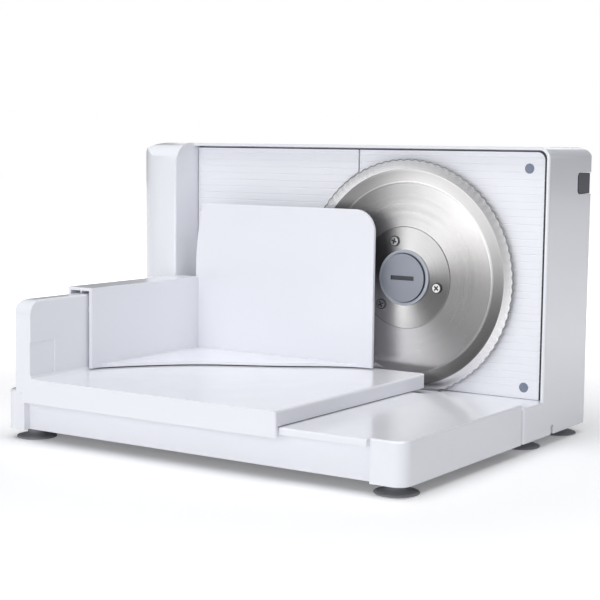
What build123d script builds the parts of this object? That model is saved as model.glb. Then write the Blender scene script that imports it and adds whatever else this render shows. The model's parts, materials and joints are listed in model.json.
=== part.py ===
from build123d import *
import math
import os

# Electric food slicer: a white housing with a scalloped round blade on its front, a thickness
# plate beside the blade, and a base tray on which a carriage and its food pusher slide.
# The origin is on the floor, under the middle of the whole machine. X is to the user's right,
# Y is away from the user and Z is up. All sizes are in millimetres.

# The whole machine
housing_width = 386.0
housing_depth = 81.5
housing_rise = 221.0
foot_rise = 8.0
knob_reach = 14.0
machine_depth = 304.0
housing_wall = 2.4

right_x = (housing_width + knob_reach) / 2
left_x = right_x - housing_width
back_y = machine_depth / 2
front_y = -back_y
rim_y = back_y - housing_depth
top_z = foot_rise + housing_rise

# Blade
blade_radius = 95.0
blade_from_right = 123.0
blade_behind_rim = 1.5
blade_dip = 6.5
blade_sheet = 1.2
scallop_count = 85
scallop_depth = 0.8
blade_x = right_x - blade_from_right
blade_y = rim_y + blade_behind_rim

# Housing outline
tower_width = 50.2
tower_reach = 25.5
tower_side_radius = 34.0
tower_crown_radius = 29.0
tower_brow_radius = 20.0
corner_radius = 9.0
back_edge_radius = 10.0
edge_radius = 2.0
motor_box_width = 170.3
sill_rise = 27.0
sill_depth = 33.8
sill_edge_radius = 1.5
tower_in_x = left_x + tower_width
tower_front_y = rim_y - tower_reach
box_left_x = right_x - motor_box_width
sill_z = foot_rise + sill_rise
sill_front_y = rim_y - sill_depth
blade_z = sill_z + blade_radius - blade_dip

# Fixed panel and thickness plate
panel_recess = 6.5
panel_sheet = 3.0
panel_gap = 0.8
seam_gap = 1.5
groove_pitch = 5.7
groove_depth = 0.35
groove_width = 0.9
plate_forward = 5.0
plate_back = 10.0
blade_ring_gap = 1.8
plate_flange = 2.0
plate_flange_depth = 6.0
panel_y = rim_y + panel_recess

# Base tray
tray_left_inset = 32.0
tray_rise = 30.3
tray_gap = 1.4
tray_wall = 2.5
tray_front_inset = 8.5
tray_corner_radius = 10.0
tray_back_radius = 3.0
tray_recess = 6.0
left_block = 20.0
right_block = 26.0
lip_rise = 5.0
lip_clearance = 1.0
hook_gap = 0.4
tray_left_x = left_x + tray_left_inset
tray_width = right_x - tray_left_x
tray_back_y = sill_front_y - tray_gap
tray_front_y = front_y + tray_front_inset
tray_z = foot_rise + tray_rise
lip_left_x = tray_left_x + left_block
lip_right_x = right_x - right_block
recess_y = tray_front_y + tray_recess

# Carriage
carriage_width = 240.3
carriage_side_gap = 0.5
carriage_back_gap = 13.0
carriage_lift = 0.6
deck_rise = 11.5
carriage_wall = 2.5
carriage_side_width = 16.3
carriage_side_rise = 59.8
skirt_sheet = 3.0
skirt_drop = 7.0
skirt_inset = 6.8
running_gap = 0.3
side_nose_radius = 12.0
side_top_radius = 5.0
deck_corner_radius = 5.0
inner_corner_radius = 3.0
carriage_left_x = tower_in_x + carriage_side_gap
carriage_right_x = carriage_left_x + carriage_width
carriage_back_y = blade_y - carriage_back_gap
carriage_low_z = tray_z + carriage_lift
deck_z = tray_z + deck_rise
side_x = carriage_left_x + carriage_side_width
side_z = deck_z + carriage_side_rise
skirt_z = tray_z - skirt_drop
lip_front_y = front_y + skirt_sheet + lip_clearance

# Food pusher
pusher_sheet = 3.0
pusher_face_gap = 22.0
wing_gap = 1.8
wing_length = 138.0
hook_sheet = 2.5
hook_lift = 2.5
hook_lip_sheet = 2.2
hook_lip_gap = 0.8
hook_lip_drop = 14.0
hook_tower_gap = 7.0
pusher_floor_gap = 1.0
pusher_rise = 127.9
pusher_right_inset = 45.0
pusher_corner_radius = 18.0
pusher_edge_lean = 7.0
web_sheet = 2.5
pad_width = 2.0
grip_count = 8
grip_reach = 1.2
grip_width = 3.0
wing_out_x = side_x + wing_gap
wing_x = wing_out_x + pusher_sheet
pusher_y = blade_y - pusher_face_gap
wing_front_y = pusher_y - wing_length
pusher_low_z = deck_z + pusher_floor_gap
pusher_z = deck_z + pusher_rise
pusher_right_x = carriage_right_x - pusher_right_inset

# Blade drive: a motor, a two-gear layshaft and the toothed carrier behind the blade
pressure_angle = math.radians(25.0)
drive_module = 1.5
carrier_teeth = 48
drive_teeth = 12
motor_module = 1.0
lay_teeth = 48
motor_teeth = 12
mesh_play = 0.25
addendum_share = 0.95
dedendum_share = 1.2
carrier_tooth_width = 7.5
lay_tooth_width = 7.0
motor_angle = math.radians(-50.0)
carrier_radius = drive_module * carrier_teeth / 2
drive_radius = drive_module * drive_teeth / 2
lay_radius = motor_module * lay_teeth / 2
motor_gear_radius = motor_module * motor_teeth / 2
lay_x = blade_x + carrier_radius + drive_radius
motor_x = lay_x + (lay_radius + motor_gear_radius) * math.cos(motor_angle)
motor_z = blade_z + (lay_radius + motor_gear_radius) * math.sin(motor_angle)

# Gearbox plates, from front to back
cup_depth = 9.5
cup_floor = 2.5
cup_clearance = 4.5
gear_plate_gap = 3.0
gear_plate_sheet = 3.0
gear_gap = 10.0
motor_plate_sheet = 2.5
plate_margin = 19.0
cup_floor_y = panel_y + cup_depth
gear_plate_y = cup_floor_y + cup_floor + gear_plate_gap
gear_space_y = gear_plate_y + gear_plate_sheet
motor_plate_y = gear_space_y + gear_gap
motor_face_y = motor_plate_y + motor_plate_sheet

# Shafts, bushes and their running clearance
shaft_clearance = 0.05
spindle_radius = 5.0
bush_wall = 2.5
layshaft_radius = 4.0
lay_bush_wall = 2.0
motor_shaft_radius = 2.5

# Hub and its lock
hub_radius = 22.4
hub_reach = 3.5
carrier_flange_radius = 34.0
lock_radius = 19.6
lock_fit = 0.3
lock_reach = 2.0
lock_sheet = 3.5
lock_stem_radius = 7.0
lock_slot_length = 21.0
lock_slot_width = 3.5
lock_slot_depth = 1.5
blade_screw_circle = 30.5
blade_screw_first = 107.5
blade_screw_count = 3
blade_screw_radius = 2.0
blade_screw_head = 4.3
blade_screw_head_rise = 1.6
blade_screw_length = 5.0

# Thickness mechanism in the tower
rod_radius = 4.0
rod_sleeve_wall = 3.5
rod_sleeve_length = 28.0
rod_low_inset = 35.0
rod_high_inset = 49.0
rod_inset = 27.0
slide_setback = 8.0
slide_sheet = 4.0
slide_tab = 30.0
rack_module = 1.0
knob_teeth = 14
rack_width = 8.0
rack_back = 5.0
knob_setback = 24.0
knob_shaft_radius = 4.0
knob_radius = 20.0
knob_grip_count = 16
knob_grip_depth = 1.0
knob_pinion_radius = rack_module * knob_teeth / 2

# Power switch at the back right edge
button_from_top = 36.5
button_rise = 17.0
button_length = 28.0
button_gap = 0.4
button_travel = 3.0
button_inset = 0.8
button_back_inset = 2.0
button_corner_radius = 4.0
button_body_width = 16.0
button_low_z = top_z - button_from_top

# Feet, screws and covers
suction_radius = 15.5
suction_lip = 1.2
suction_neck_radius = 7.0
suction_hollow = 2.0
foot_stem_radius = 3.9
foot_head_radius = 5.4
foot_head_rise = 2.0
tray_foot_inset = 15.8
tray_foot_setback = 18.5
housing_foot_inset = 17.0
housing_foot_front = 3.5
housing_foot_back = 16.0
screw_radius = 1.5
screw_head_radius = 3.0
screw_head_rise = 2.0
screw_fit = 0.05
boss_radius = 4.0
cover_sheet = 2.5
cover_gap = 0.3
overrun = 5.0
peg_sides = 6
foot_sides = 8
bush_sides = 12
cup_sides = 24
bolt_sides = 24
motor_sides = 18
disc_sides = 28
trim_share = 1.01
plate_arc_sides = 60
edge_softness = 0.6
boss_length = 12.0
boss_sink = 0.2
cover_boss_radius = 5.0
cover_screw_inset = 4.6
screw_depth = 9.0
screw_hold = 7.0
rib_sheet = 1.8
rib_setback = 3.0
rib_count = 4
foot_boss_radius = 10.0
neck_share = 0.45
roof_lip = 15.0
frame_sheet = 6.0

# Slot in the foot that the blade dips into
blade_dip_side = 2.0
blade_dip_gap = 2.0
blade_dip_front = 4.5

# Vents in the rear cover
vent_count = 9
vent_pitch = 8.0
vent_length = 90.0
vent_width = 2.4
vent_from_top = 134.0
vent_low_z = top_z - vent_from_top

# Plugs over the panel screws
plug_right_inset = 19.5
plug_high_inset = 16.5
plug_low_inset = 9.0
plug_radius = 3.9
plug_proud = 0.2
plug_sheet = 0.8
plug_depth = 1.6

# Cord: its arched notch, its storage pocket in the base and its gland
notch_from_back = 63.3
notch_width = 5.0
notch_rise = 7.5
notch_round_share = 0.45
pocket_wall = 2.0
pocket_width = 105.0
pocket_right_inset = 50.0
pocket_depth = 43.8
pocket_rise = 22.0
gland_inset = 20.0
gland_radius = 5.0
gland_bore = 3.3
gland_flange = 1.2

# Tongues that hold the base tray under the housing
tongue_width = 30.0
tongue_inset = 55.0
tongue_rise = 12.0
tongue_sheet = 4.0
tongue_length = 26.7
tongue_screw_setback = 16.7

# Thickness mechanism details
rod_seat = 8.0
rod_seat_depth = 15.0
slot_room = 2.0
slide_margin = 9.0
bearing_length = 8.0
rack_front_setback = 5.0
rack_length = 27.0
rack_from_inner = 15.2
knob_collar = 3.0
knob_shaft_gap = 1.2
knob_wall_gap = 0.3
plate_screw_inset = 14.0
plate_screw_rod_gap = 10.0
plate_screw_hold = 6.0

# Blade profile behind and before its cutting plane
ground_band = 9.0
step_band = 10.0
step_back = 1.4
dish_forward = 1.2
disc_forward = 1.8
disc_radius = 41.0
edge_sheet = 0.3
blade_bore_fit = 0.1

# Carrier, bush and spindle along their axis
carrier_web = 6.1
carrier_gear_y = blade_y + 4.5
carrier_rim = 3.0
carrier_hub_wall = 5.0
stem_length = 6.5
bush_front_y = blade_y + 5.0
bush_length = 9.0
spindle_flange = 4.0
spindle_tail = 4.0
nut_radius = 8.0
nut_sheet = 3.6

# Layshaft and motor along their axis
layshaft_tail = 1.0
lay_gear_setback = 1.5
can_radius = 25.0
can_wall = 1.6
can_length = 33.5
can_front_wall = 2.0
cap_sheet = 2.5
magnet_gap = 0.1
magnet_sheet = 5.0
magnet_length = 24.0
magnet_setback = 5.0
magnet_space = 9.0
core_gap = 1.3
core_slots = 5
core_slot_width = 2.6
core_slot_depth = 9.0
commutator_radius = 6.0
commutator_length = 5.0
motor_screw_circle = 16.0
motor_screw_hold = 3.6
motor_boss_radius = 7.0

# Switch behind the button
cage_reach = 16.0
cage_clearance = 0.3
button_hidden = 6.0
plunger_radius = 2.5
plunger_gap = 0.3
plunger_length = 8.0
switch_length = 15.0
switch_gap = 3.6
stop_tab = 2.0
stop_tab_setback = 2.0
screw_seat = 1.2

# Small features of the carriage and pusher
hook_under = 3.4
rib_shares = [0.2, 0.45, 0.7, 0.92]
side_mark_length = 27.0
side_mark_rise = 28.0
side_mark_depth = 0.6
lean_share = 0.2
web_shares = [(0.150, 0.287), (0.311, 0.5), (0.506, 0.654), (0.644, 0.757), (0.816, 0.912)]
pad_shares = [0.2, 0.8]
grip_low_inset = 4.0
lock_slot_angle = 0.0


def block(x0, x1, y0, y1, z0, z1):
    """A box between two corners."""
    centre = ((x0 + x1) / 2, (y0 + y1) / 2, (z0 + z1) / 2)
    return Pos(*centre) * Box(x1 - x0, y1 - y0, z1 - z0)


def rod_x(y, z, radius, x0, x1):
    """A round bar along X."""
    return Pos((x0 + x1) / 2, y, z) * Rot(0, 90, 0) * Cylinder(radius, x1 - x0)


def rod_y(x, z, radius, y0, y1):
    """A round bar along Y."""
    return Pos(x, (y0 + y1) / 2, z) * Rot(90, 0, 0) * Cylinder(radius, y1 - y0)


def peg_x(y, z, radius, x0, x1, sides=0):
    """A many-sided bar along X, for screws, bosses, bushes and other small hidden rounds."""
    return prism_x(Pos(y, z) * RegularPolygon(radius, sides or peg_sides), x0, x1)


def peg_y(x, z, radius, y0, y1, sides=0):
    """A many-sided bar along Y."""
    return prism_y(Pos(x, z) * RegularPolygon(radius, sides or peg_sides), y0, y1)


def peg_z(x, y, radius, z0, z1, sides=0):
    """A many-sided bar along Z."""
    return prism_z(Pos(x, y) * RegularPolygon(radius, sides or peg_sides), z0, z1)


def corner_face(corners):
    """A flat face from (u, v, radius) corners, each rounded with its own radius."""
    edges = []
    ends = []
    for index, (u, v, radius) in enumerate(corners):
        here = Vector(u, v, 0)
        before = Vector(*corners[index - 1][:2], 0)
        after = Vector(*corners[(index + 1) % len(corners)][:2], 0)
        if radius == 0:
            ends.append((here, here))
            continue
        to_before = (before - here).normalized()
        to_after = (after - here).normalized()
        half = to_before.get_angle(to_after) * math.pi / 360
        reach = radius / math.tan(half)
        centre = here + (to_before + to_after).normalized() * (radius / math.sin(half))
        start = here + to_before * reach
        finish = here + to_after * reach
        middle = centre + (here - centre).normalized() * radius
        edges.append(ThreePointArc(start, middle, finish))
        ends.append((start, finish))
    for index in range(len(ends)):
        start = ends[index - 1][1]
        finish = ends[index][0]
        if (finish - start).length > 0:
            edges.append(Line(start, finish))
    return make_face(edges)


def prism_x(face, x0, x1):
    """A (y, z) face drawn out along X."""
    plane = Plane(origin=(x0, 0, 0), x_dir=(0, 1, 0), z_dir=(1, 0, 0))
    return extrude(plane * face, x1 - x0)


def prism_y(face, y0, y1):
    """An (x, z) face drawn out along Y."""
    plane = Plane(origin=(0, y1, 0), x_dir=(1, 0, 0), z_dir=(0, -1, 0))
    return extrude(plane * face, y1 - y0)


def prism_z(face, z0, z1):
    """An (x, y) face drawn out along Z."""
    return extrude(Pos(0, 0, z0) * face, z1 - z0)


def ring_points(radius, height, sides):
    """The corners of a level many-sided ring about the Z axis."""
    angles = [2 * math.pi * index / sides for index in range(sides)]
    return [(radius * math.cos(a), radius * math.sin(a), height) for a in angles]


def turned(profile, sides):
    """A solid turned in flat steps about the Z axis, from a closed line of (radius, height) points."""
    faces = []
    for (radius, height), (next_radius, next_height) in zip(profile, profile[1:] + profile[:1]):
        if radius == 0 and next_radius == 0:
            continue
        here = ring_points(radius, height, sides)
        there = ring_points(next_radius, next_height, sides)
        if height == next_height:
            wide, narrow = (here, there) if radius > next_radius else (there, here)
            holes = [Wire.make_polygon(narrow)] if min(radius, next_radius) > 0 else []
            faces.append(Face(Wire.make_polygon(wide), holes))
            continue
        for index in range(sides):
            after = (index + 1) % sides
            corners = [here[index], here[after], there[after], there[index]]
            if radius == 0:
                corners = [here[0], there[after], there[index]]
            if next_radius == 0:
                corners = [here[index], here[after], there[0]]
            faces.append(Face(Wire.make_polygon(corners)))
    return Part() + Solid(Shell(faces))


def turned_y(x, z, profile, sides):
    """A many-sided solid about an axis along Y, from (radius, y) points."""
    return Pos(x, 0, z) * Rot(-90, 0, 0) * turned(profile, sides)


def turned_z(x, y, profile, sides):
    """A many-sided solid about a vertical axis, from (radius, z) points."""
    return Pos(x, y, 0) * turned(profile, sides)


def involute(angle):
    """How far the involute has turned where its pressure angle is this large."""
    return math.tan(angle) - angle


def tight_bore(radius):
    """A many-sided hole whose flats just touch a round shaft of this radius."""
    return RegularPolygon(radius / math.cos(math.pi / bush_sides), bush_sides)


def bore_x(y, z, radius, x0, x1):
    """A many-sided hole along X, with this clear radius between its flats."""
    return prism_x(Pos(y, z) * tight_bore(radius), x0, x1)


def bore_y(x, z, radius, y0, y1):
    """A many-sided hole along Y, with this clear radius between its flats."""
    return prism_y(Pos(x, z) * tight_bore(radius), y0, y1)


def gear_face(module, teeth, first_angle, bore):
    """A spur gear's outline, with one tooth centred on first_angle."""
    pitch = module * teeth / 2
    base = pitch * math.cos(pressure_angle)
    tip = pitch + module * addendum_share
    root = pitch - module * dedendum_share
    half_pitch_tooth = math.pi / teeth / 2 - mesh_play / 4 / pitch
    points = []
    for tooth in range(teeth):
        centre = first_angle + tooth * 2 * math.pi / teeth
        flank = []
        for radius in (root, tip):
            pressure = math.acos(min(base / radius, 1))
            half = half_pitch_tooth + involute(pressure_angle) - involute(pressure)
            flank.append((radius, half))
        for radius, half in flank:
            points.append((radius * math.cos(centre - half), radius * math.sin(centre - half)))
        for radius, half in reversed(flank):
            points.append((radius * math.cos(centre + half), radius * math.sin(centre + half)))
    outline = make_face(Polyline(points, close=True))
    return outline - tight_bore(bore) if bore else outline


def gear_y(module, teeth, first_angle, bore, x, z, y0, y1):
    """A spur gear with its axis along Y."""
    return Pos(x, 0, z) * prism_y(gear_face(module, teeth, first_angle, bore), y0, y1)


def screw_y(x, z, y_head, length, head_side):
    """A round-headed screw along Y. head_side is -1 for a head at the front and 1 at the back."""
    y_seat = y_head - head_side * screw_head_rise
    head = peg_y(x, z, screw_head_radius, min(y_head, y_seat), max(y_head, y_seat))
    y_tip = y_seat - head_side * length
    return head + peg_y(x, z, screw_radius, min(y_seat, y_tip), max(y_seat, y_tip))


def screw_z(x, y, z_seat, length):
    """A round-headed screw that goes up into its boss, with its head under z_seat."""
    head = peg_z(x, y, screw_head_radius, z_seat - screw_head_rise, z_seat)
    return head + peg_z(x, y, screw_radius, z_seat, z_seat + length)


def grooved_sheet(face, y0, y1, z0, z1):
    """A sheet whose front carries level grooves that let the food slide past."""
    sheet = prism_y(face, y0, y1)
    bounds = sheet.bounding_box()
    count = int((z1 - z0) / groove_pitch)
    cutters = []
    for index in range(1, count):
        z = z1 - index * groove_pitch
        points = [(y0 - groove_depth, z - groove_width), (y0 + groove_depth, z)]
        points.append((y0 - groove_depth, z + groove_width))
        groove = make_face(Polyline(points, close=True))
        cutters.append(prism_x(groove, bounds.min.X - overrun, bounds.max.X + overrun))
    return sheet - cutters


# Places that several pieces share
panel_back_y = panel_y + panel_sheet
roof_z = top_z - housing_wall
inner_right_x = right_x - housing_wall
inner_left_x = left_x + housing_wall
inner_corner = corner_radius - housing_wall
box_wall_x = box_left_x + housing_wall
cover_y = back_y - cover_sheet
plate_left_x = tower_in_x + panel_gap
plate_right_x = box_left_x - seam_gap
plate_low_z = sill_z + panel_gap
plate_high_z = roof_z - panel_gap
floor_z = foot_rise + cover_sheet
sill_left_x = tray_left_x
rod_x_place = tower_in_x - rod_inset
rod_places = [sill_z + rod_low_inset, top_z - rod_high_inset]
rod_centre_z = sum(rod_places) / 2
slide_y = panel_back_y + slide_setback
knob_y = slide_y + knob_setback
knob_z = rod_centre_z
post_left_x = blade_x - plate_margin
post_right_x = motor_x + plate_margin
post_low_z = blade_z - cup_clearance - carrier_radius - boss_radius * 2
post_high_z = blade_z + cup_clearance + carrier_radius + boss_radius * 2
post_places = [(x, z) for x in (post_left_x, post_right_x) for z in (post_low_z, post_high_z)]
cup_radius = carrier_radius + cup_clearance
lobe_radius = drive_radius + cup_clearance
plug_x = right_x - plug_right_inset
plug_places = [(plug_x, top_z - plug_high_inset), (plug_x, sill_z + plug_low_inset)]
housing_feet = [
    (x, y)
    for x in (left_x + housing_foot_inset, right_x - housing_foot_inset)
    for y in (rim_y - housing_foot_front, back_y - housing_foot_back)
]
tray_feet = [
    (x, tray_front_y + tray_foot_setback)
    for x in (tray_left_x + tray_foot_inset, right_x - tray_foot_inset)
]
frame_y = panel_back_y + housing_wall
tower_wall_x = tower_in_x - housing_wall
notch_y = back_y - notch_from_back
channel_y = notch_y - notch_width / 2
pocket_right_x = right_x - pocket_right_inset
pocket_left_x = pocket_right_x - pocket_width
pocket_back_y = channel_y + pocket_depth
pocket_z = foot_rise + pocket_rise
gland_x = pocket_right_x - gland_inset
gland_y = pocket_back_y - gland_inset
tongue_places = [tray_left_x + tongue_inset, right_x - tongue_inset]
tongue_z = foot_rise + tongue_rise
tongue_back_y = tray_back_y + tongue_length
tongue_screw_y = tray_back_y + tongue_screw_setback
rod_seat_y = tower_front_y + rod_seat_depth
rear_low_z = sill_z + cover_boss_radius + housing_wall
rear_screws = [
    (box_wall_x + cover_screw_inset, rear_low_z),
    (inner_right_x - cover_screw_inset, rear_low_z),
    (box_wall_x + cover_screw_inset, top_z - back_edge_radius - cover_screw_inset - housing_wall),
    (inner_right_x - cover_screw_inset, button_low_z - cover_screw_inset * 2),
]
tower_screws = [
    (x, z)
    for x in (inner_left_x + cover_screw_inset, tower_wall_x - cover_screw_inset)
    for z in (rear_low_z, top_z - tower_crown_radius - cover_screw_inset - housing_wall)
]
bottom_screws = [
    (tongue_places[0] + tongue_width * 3 / 2, tongue_screw_y),
    (tongue_places[1] + tongue_width, sill_front_y + boss_radius * 3),
    (tongue_places[0], back_y - boss_length),
    (box_left_x - tongue_width, back_y - boss_length),
    (inner_right_x - boss_radius + boss_sink, back_y - boss_length * 4),
]
rack_x = tower_in_x - rack_from_inner
button_front_y = back_y - button_length
cage_x = inner_right_x - button_gap - button_body_width - cage_clearance
button_x = cage_x + cage_clearance
button_body_y = button_front_y - button_hidden
switch_y = button_body_y - switch_gap
carrier_web_y = blade_y - disc_forward + blade_sheet
bush_radius = spindle_radius + bush_wall
lay_bush_radius = layshaft_radius + lay_bush_wall
can_back_y = motor_face_y + can_length
core_radius = can_radius - can_wall - magnet_gap - magnet_sheet - core_gap
plunger_x = (cage_x + inner_right_x) / 2
hook_y = lip_front_y + hook_under
plate_screw_x = tower_in_x + plate_screw_inset
plate_screw_places = [
    (plate_screw_x, rod_places[0] + plate_screw_rod_gap),
    (plate_screw_x, rod_centre_z),
    (plate_screw_x, rod_places[1] - plate_screw_rod_gap),
]
blade_screw_places = [
    (
        blade_x + blade_screw_circle * math.cos(math.radians(blade_screw_first + index * 360 / blade_screw_count)),
        blade_z + blade_screw_circle * math.sin(math.radians(blade_screw_first + index * 360 / blade_screw_count)),
    )
    for index in range(blade_screw_count)
]
motor_screw_places = [
    (
        motor_x - side * motor_screw_circle * math.sin(motor_angle),
        motor_z + side * motor_screw_circle * math.cos(motor_angle),
    )
    for side in (-1, 1)
]


def housing_plan(inset):
    """The housing seen from above, with its walls moved in by this much."""
    edge = 0 if inset else edge_radius
    return corner_face([
        (right_x - inset, rim_y + inset, edge),
        (right_x - inset, back_y - inset, edge),
        (left_x + inset, back_y - inset, edge),
        (left_x + inset, tower_front_y + inset, tower_side_radius - inset),
        (tower_in_x - inset, tower_front_y + inset, edge),
        (tower_in_x - inset, rim_y + inset, 0),
    ])


def housing_envelope(inset, low_z):
    """The housing's outside, or the room inside walls of this thickness."""
    high_z = top_z - inset
    front = corner_face([
        (left_x + inset, low_z, 0),
        (right_x - inset, low_z, 0),
        (right_x - inset, high_z, corner_radius - inset),
        (left_x + inset, high_z, tower_crown_radius - inset),
    ])
    side = corner_face([
        (tower_front_y + inset, low_z, 0),
        (back_y - inset, low_z, 0),
        (back_y - inset, high_z, back_edge_radius - inset),
        (tower_front_y + inset, high_z, tower_brow_radius - inset),
    ])
    body = prism_z(housing_plan(inset), low_z, high_z)
    body &= prism_y(front, tower_front_y + inset, back_y - inset)
    return body & prism_x(side, left_x + inset, right_x - inset)


def sill_face(inset):
    """The foot that stands out in front of the housing, from above."""
    edge = 0 if inset else edge_radius
    return corner_face([
        (sill_left_x + inset, sill_front_y + inset, edge),
        (right_x - inset, sill_front_y + inset, edge),
        (right_x - inset, rim_y + overrun, 0),
        (sill_left_x + inset, rim_y + overrun, 0),
    ])


def make_main_housing():
    """The white shell: tower, roof, motor box and foot in one moulding."""
    body = housing_envelope(0, foot_rise)
    sill = prism_z(sill_face(0), foot_rise, sill_z)
    sill = chamfer(sill.edges().group_by(Axis.Z)[-1].group_by(Axis.Y)[0], sill_edge_radius * edge_softness)
    body += sill
    room = housing_envelope(housing_wall, foot_rise - overrun)
    low_z = foot_rise - overrun
    body -= room & block(left_x, tower_in_x - housing_wall, tower_front_y, back_y, low_z, top_z)
    body -= room & block(box_wall_x, right_x, frame_y, back_y, low_z, top_z)
    body -= room & block(left_x, right_x, tower_front_y, back_y, low_z, sill_z - housing_wall)
    body -= prism_z(sill_face(housing_wall), low_z, sill_z - housing_wall)

    # The recess that holds the panel and the thickness plate, and the way through behind the plate
    recess = corner_face([
        (tower_in_x, sill_z, 0),
        (inner_right_x, sill_z, 0),
        (inner_right_x, roof_z, inner_corner),
        (tower_in_x, roof_z, 0),
    ])
    body -= prism_y(recess, rim_y - overrun, panel_back_y)
    body -= room & block(tower_in_x, box_left_x, panel_y, back_y, sill_z, roof_z)
    body -= block(tower_in_x, box_left_x, panel_y, back_y + overrun, sill_z, roof_z - roof_lip)
    frame = frame_sheet + housing_wall
    body -= block(
        box_wall_x, right_x - frame, panel_y, frame_y + overrun, sill_z + frame_sheet, roof_z - frame_sheet
    )

    # Openings for the covers, the switch button and the cord
    body -= prism_y(rear_opening(0), cover_y - overrun, back_y + overrun)
    body -= prism_y(tower_opening(0), cover_y - overrun, back_y + overrun)
    body -= prism_x(button_opening(), inner_right_x - housing_wall, right_x + overrun)
    notch = corner_face([
        (notch_y - notch_width / 2, foot_rise - overrun, 0),
        (notch_y + notch_width / 2, foot_rise - overrun, 0),
        (notch_y + notch_width / 2, foot_rise + notch_rise, notch_width * notch_round_share),
        (notch_y - notch_width / 2, foot_rise + notch_rise, notch_width * notch_round_share),
    ])
    body -= prism_x(notch, inner_right_x - overrun, right_x + overrun)

    # The slot that the lower edge of the blade dips into
    pocket_half = math.sqrt(blade_radius**2 - (blade_z - sill_z) ** 2) + blade_dip_side
    pocket_low_z = blade_z - blade_radius - blade_dip_gap
    pocket_front_y = blade_y - blade_dip_front
    body += block(
        blade_x - pocket_half - housing_wall,
        blade_x + pocket_half + housing_wall,
        pocket_front_y - housing_wall,
        frame_y,
        pocket_low_z - housing_wall,
        sill_z - housing_wall / 2,
    )
    body -= block(
        blade_x - pocket_half, blade_x + pocket_half, pocket_front_y, panel_y, pocket_low_z, sill_z + overrun
    )

    # The switch cage, with a slot below that stops the button at rest
    cage_y = switch_y - switch_length - housing_wall
    left = cage_x - cage_reach
    low = button_low_z
    high = button_low_z + button_rise
    right = inner_right_x + housing_wall / 2
    body += block(left, right, cage_y, cover_y, low - housing_wall, low)
    body += block(left, right, cage_y, cover_y, high, high + housing_wall)
    body += block(left, right, cage_y, cage_y + housing_wall, low, high)
    tab_y = button_body_y + stop_tab_setback
    body -= block(
        button_x + stop_tab_setback,
        button_x + stop_tab_setback + stop_tab * 2 + button_gap * 2,
        tab_y - button_travel - button_gap,
        tab_y + stop_tab,
        low - housing_wall - overrun,
        low + button_gap,
    )

    # Screw bosses, rod bosses and the slot and bearings of the thickness mechanism
    for x, z in plug_places:
        body += peg_y(x, z, boss_radius, panel_back_y, panel_back_y + boss_length)
        body += block(x, inner_right_x, panel_back_y, panel_back_y + boss_length, z - rib_sheet / 2, z + rib_sheet / 2)
        body -= peg_y(x, z, screw_radius + screw_fit, panel_back_y - overrun, panel_back_y + screw_depth)
    for x, z in rear_screws + tower_screws:
        body += peg_y(x, z, cover_boss_radius, cover_y - boss_length, cover_y)
        body -= peg_y(x, z, screw_radius + screw_fit, cover_y - screw_depth, cover_y + overrun)
    inside = housing_envelope(housing_wall / 2, foot_rise)
    for z in rod_places:
        body += inside & peg_y(rod_x_place, z, rod_radius + rod_sleeve_wall, tower_front_y, rod_seat_y)
        body -= peg_y(rod_x_place, z, rod_radius, rod_seat_y - rod_seat, rod_seat_y + overrun, bush_sides)
    body -= block(
        tower_in_x - housing_wall - overrun,
        tower_in_x + overrun,
        slide_y - plate_forward - slot_room,
        slide_y + slide_sheet + plate_back + slot_room,
        rod_places[0] - slide_margin - slot_room,
        rod_places[1] + slide_margin + slot_room,
    )
    boss = knob_shaft_radius + rod_sleeve_wall
    body += peg_x(knob_y, knob_z, boss, left_x + housing_wall / 2, inner_left_x + bearing_length)
    body += peg_x(knob_y, knob_z, boss, tower_wall_x - bearing_length, tower_in_x - housing_wall / 2)
    bearing = knob_shaft_radius + shaft_clearance
    body -= bore_x(knob_y, knob_z, bearing, left_x - overrun, tower_in_x - housing_wall / 2)
    for x, y in bottom_screws:
        body += peg_z(x, y, boss_radius, floor_z, sill_z - housing_wall / 2)
        body -= peg_z(x, y, screw_radius, floor_z - overrun, floor_z + screw_depth)

    # Where the tray's tongues come in under the foot
    for x in tongue_places:
        body -= block(
            x - tongue_width / 2 - running_gap,
            x + tongue_width / 2 + running_gap,
            sill_front_y - overrun,
            sill_front_y + housing_wall + overrun,
            tongue_z - running_gap,
            tongue_z + tongue_sheet + running_gap,
        )
        body += peg_z(x, tongue_screw_y, boss_radius, tongue_z + tongue_sheet, sill_z - housing_wall / 2)
        body -= peg_z(
            x, tongue_screw_y, screw_radius + screw_fit, tongue_z, tongue_z + tongue_sheet + screw_depth
        )
    return body


def rear_opening(inset):
    """The opening at the back of the motor box, or the cover that fills it."""
    return corner_face([
        (box_wall_x + inset, floor_z + inset, 0),
        (inner_right_x - inset, floor_z + inset, 0),
        (inner_right_x - inset, top_z - back_edge_radius - inset, 0),
        (box_wall_x + inset, top_z - back_edge_radius - inset, 0),
    ])


def tower_opening(inset):
    """The opening at the back of the tower, or the cover that fills it."""
    return corner_face([
        (inner_left_x + inset, floor_z + inset, 0),
        (tower_in_x - housing_wall - inset, floor_z + inset, 0),
        (tower_in_x - housing_wall - inset, top_z - tower_crown_radius - inset, 0),
        (inner_left_x + inset, top_z - tower_crown_radius - inset, 0),
    ])


def button_opening():
    """The cut-out for the switch button, open at the back edge."""
    high = button_low_z + button_rise
    return corner_face([
        (button_front_y, button_low_z, button_corner_radius),
        (back_y + overrun, button_low_z, 0),
        (back_y + overrun, high, 0),
        (button_front_y, high, button_corner_radius),
    ])


def make_cover_screws():
    """The screws that hold both back covers, with their heads sunk level."""
    screws = []
    seat = cover_y + cover_sheet / 2
    for x, z in rear_screws + tower_screws:
        head = peg_y(x, z, screw_head_radius, seat, back_y - panel_gap / 4)
        screws.append(head + peg_y(x, z, screw_radius, cover_y - screw_hold, seat))
    return screws


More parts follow.
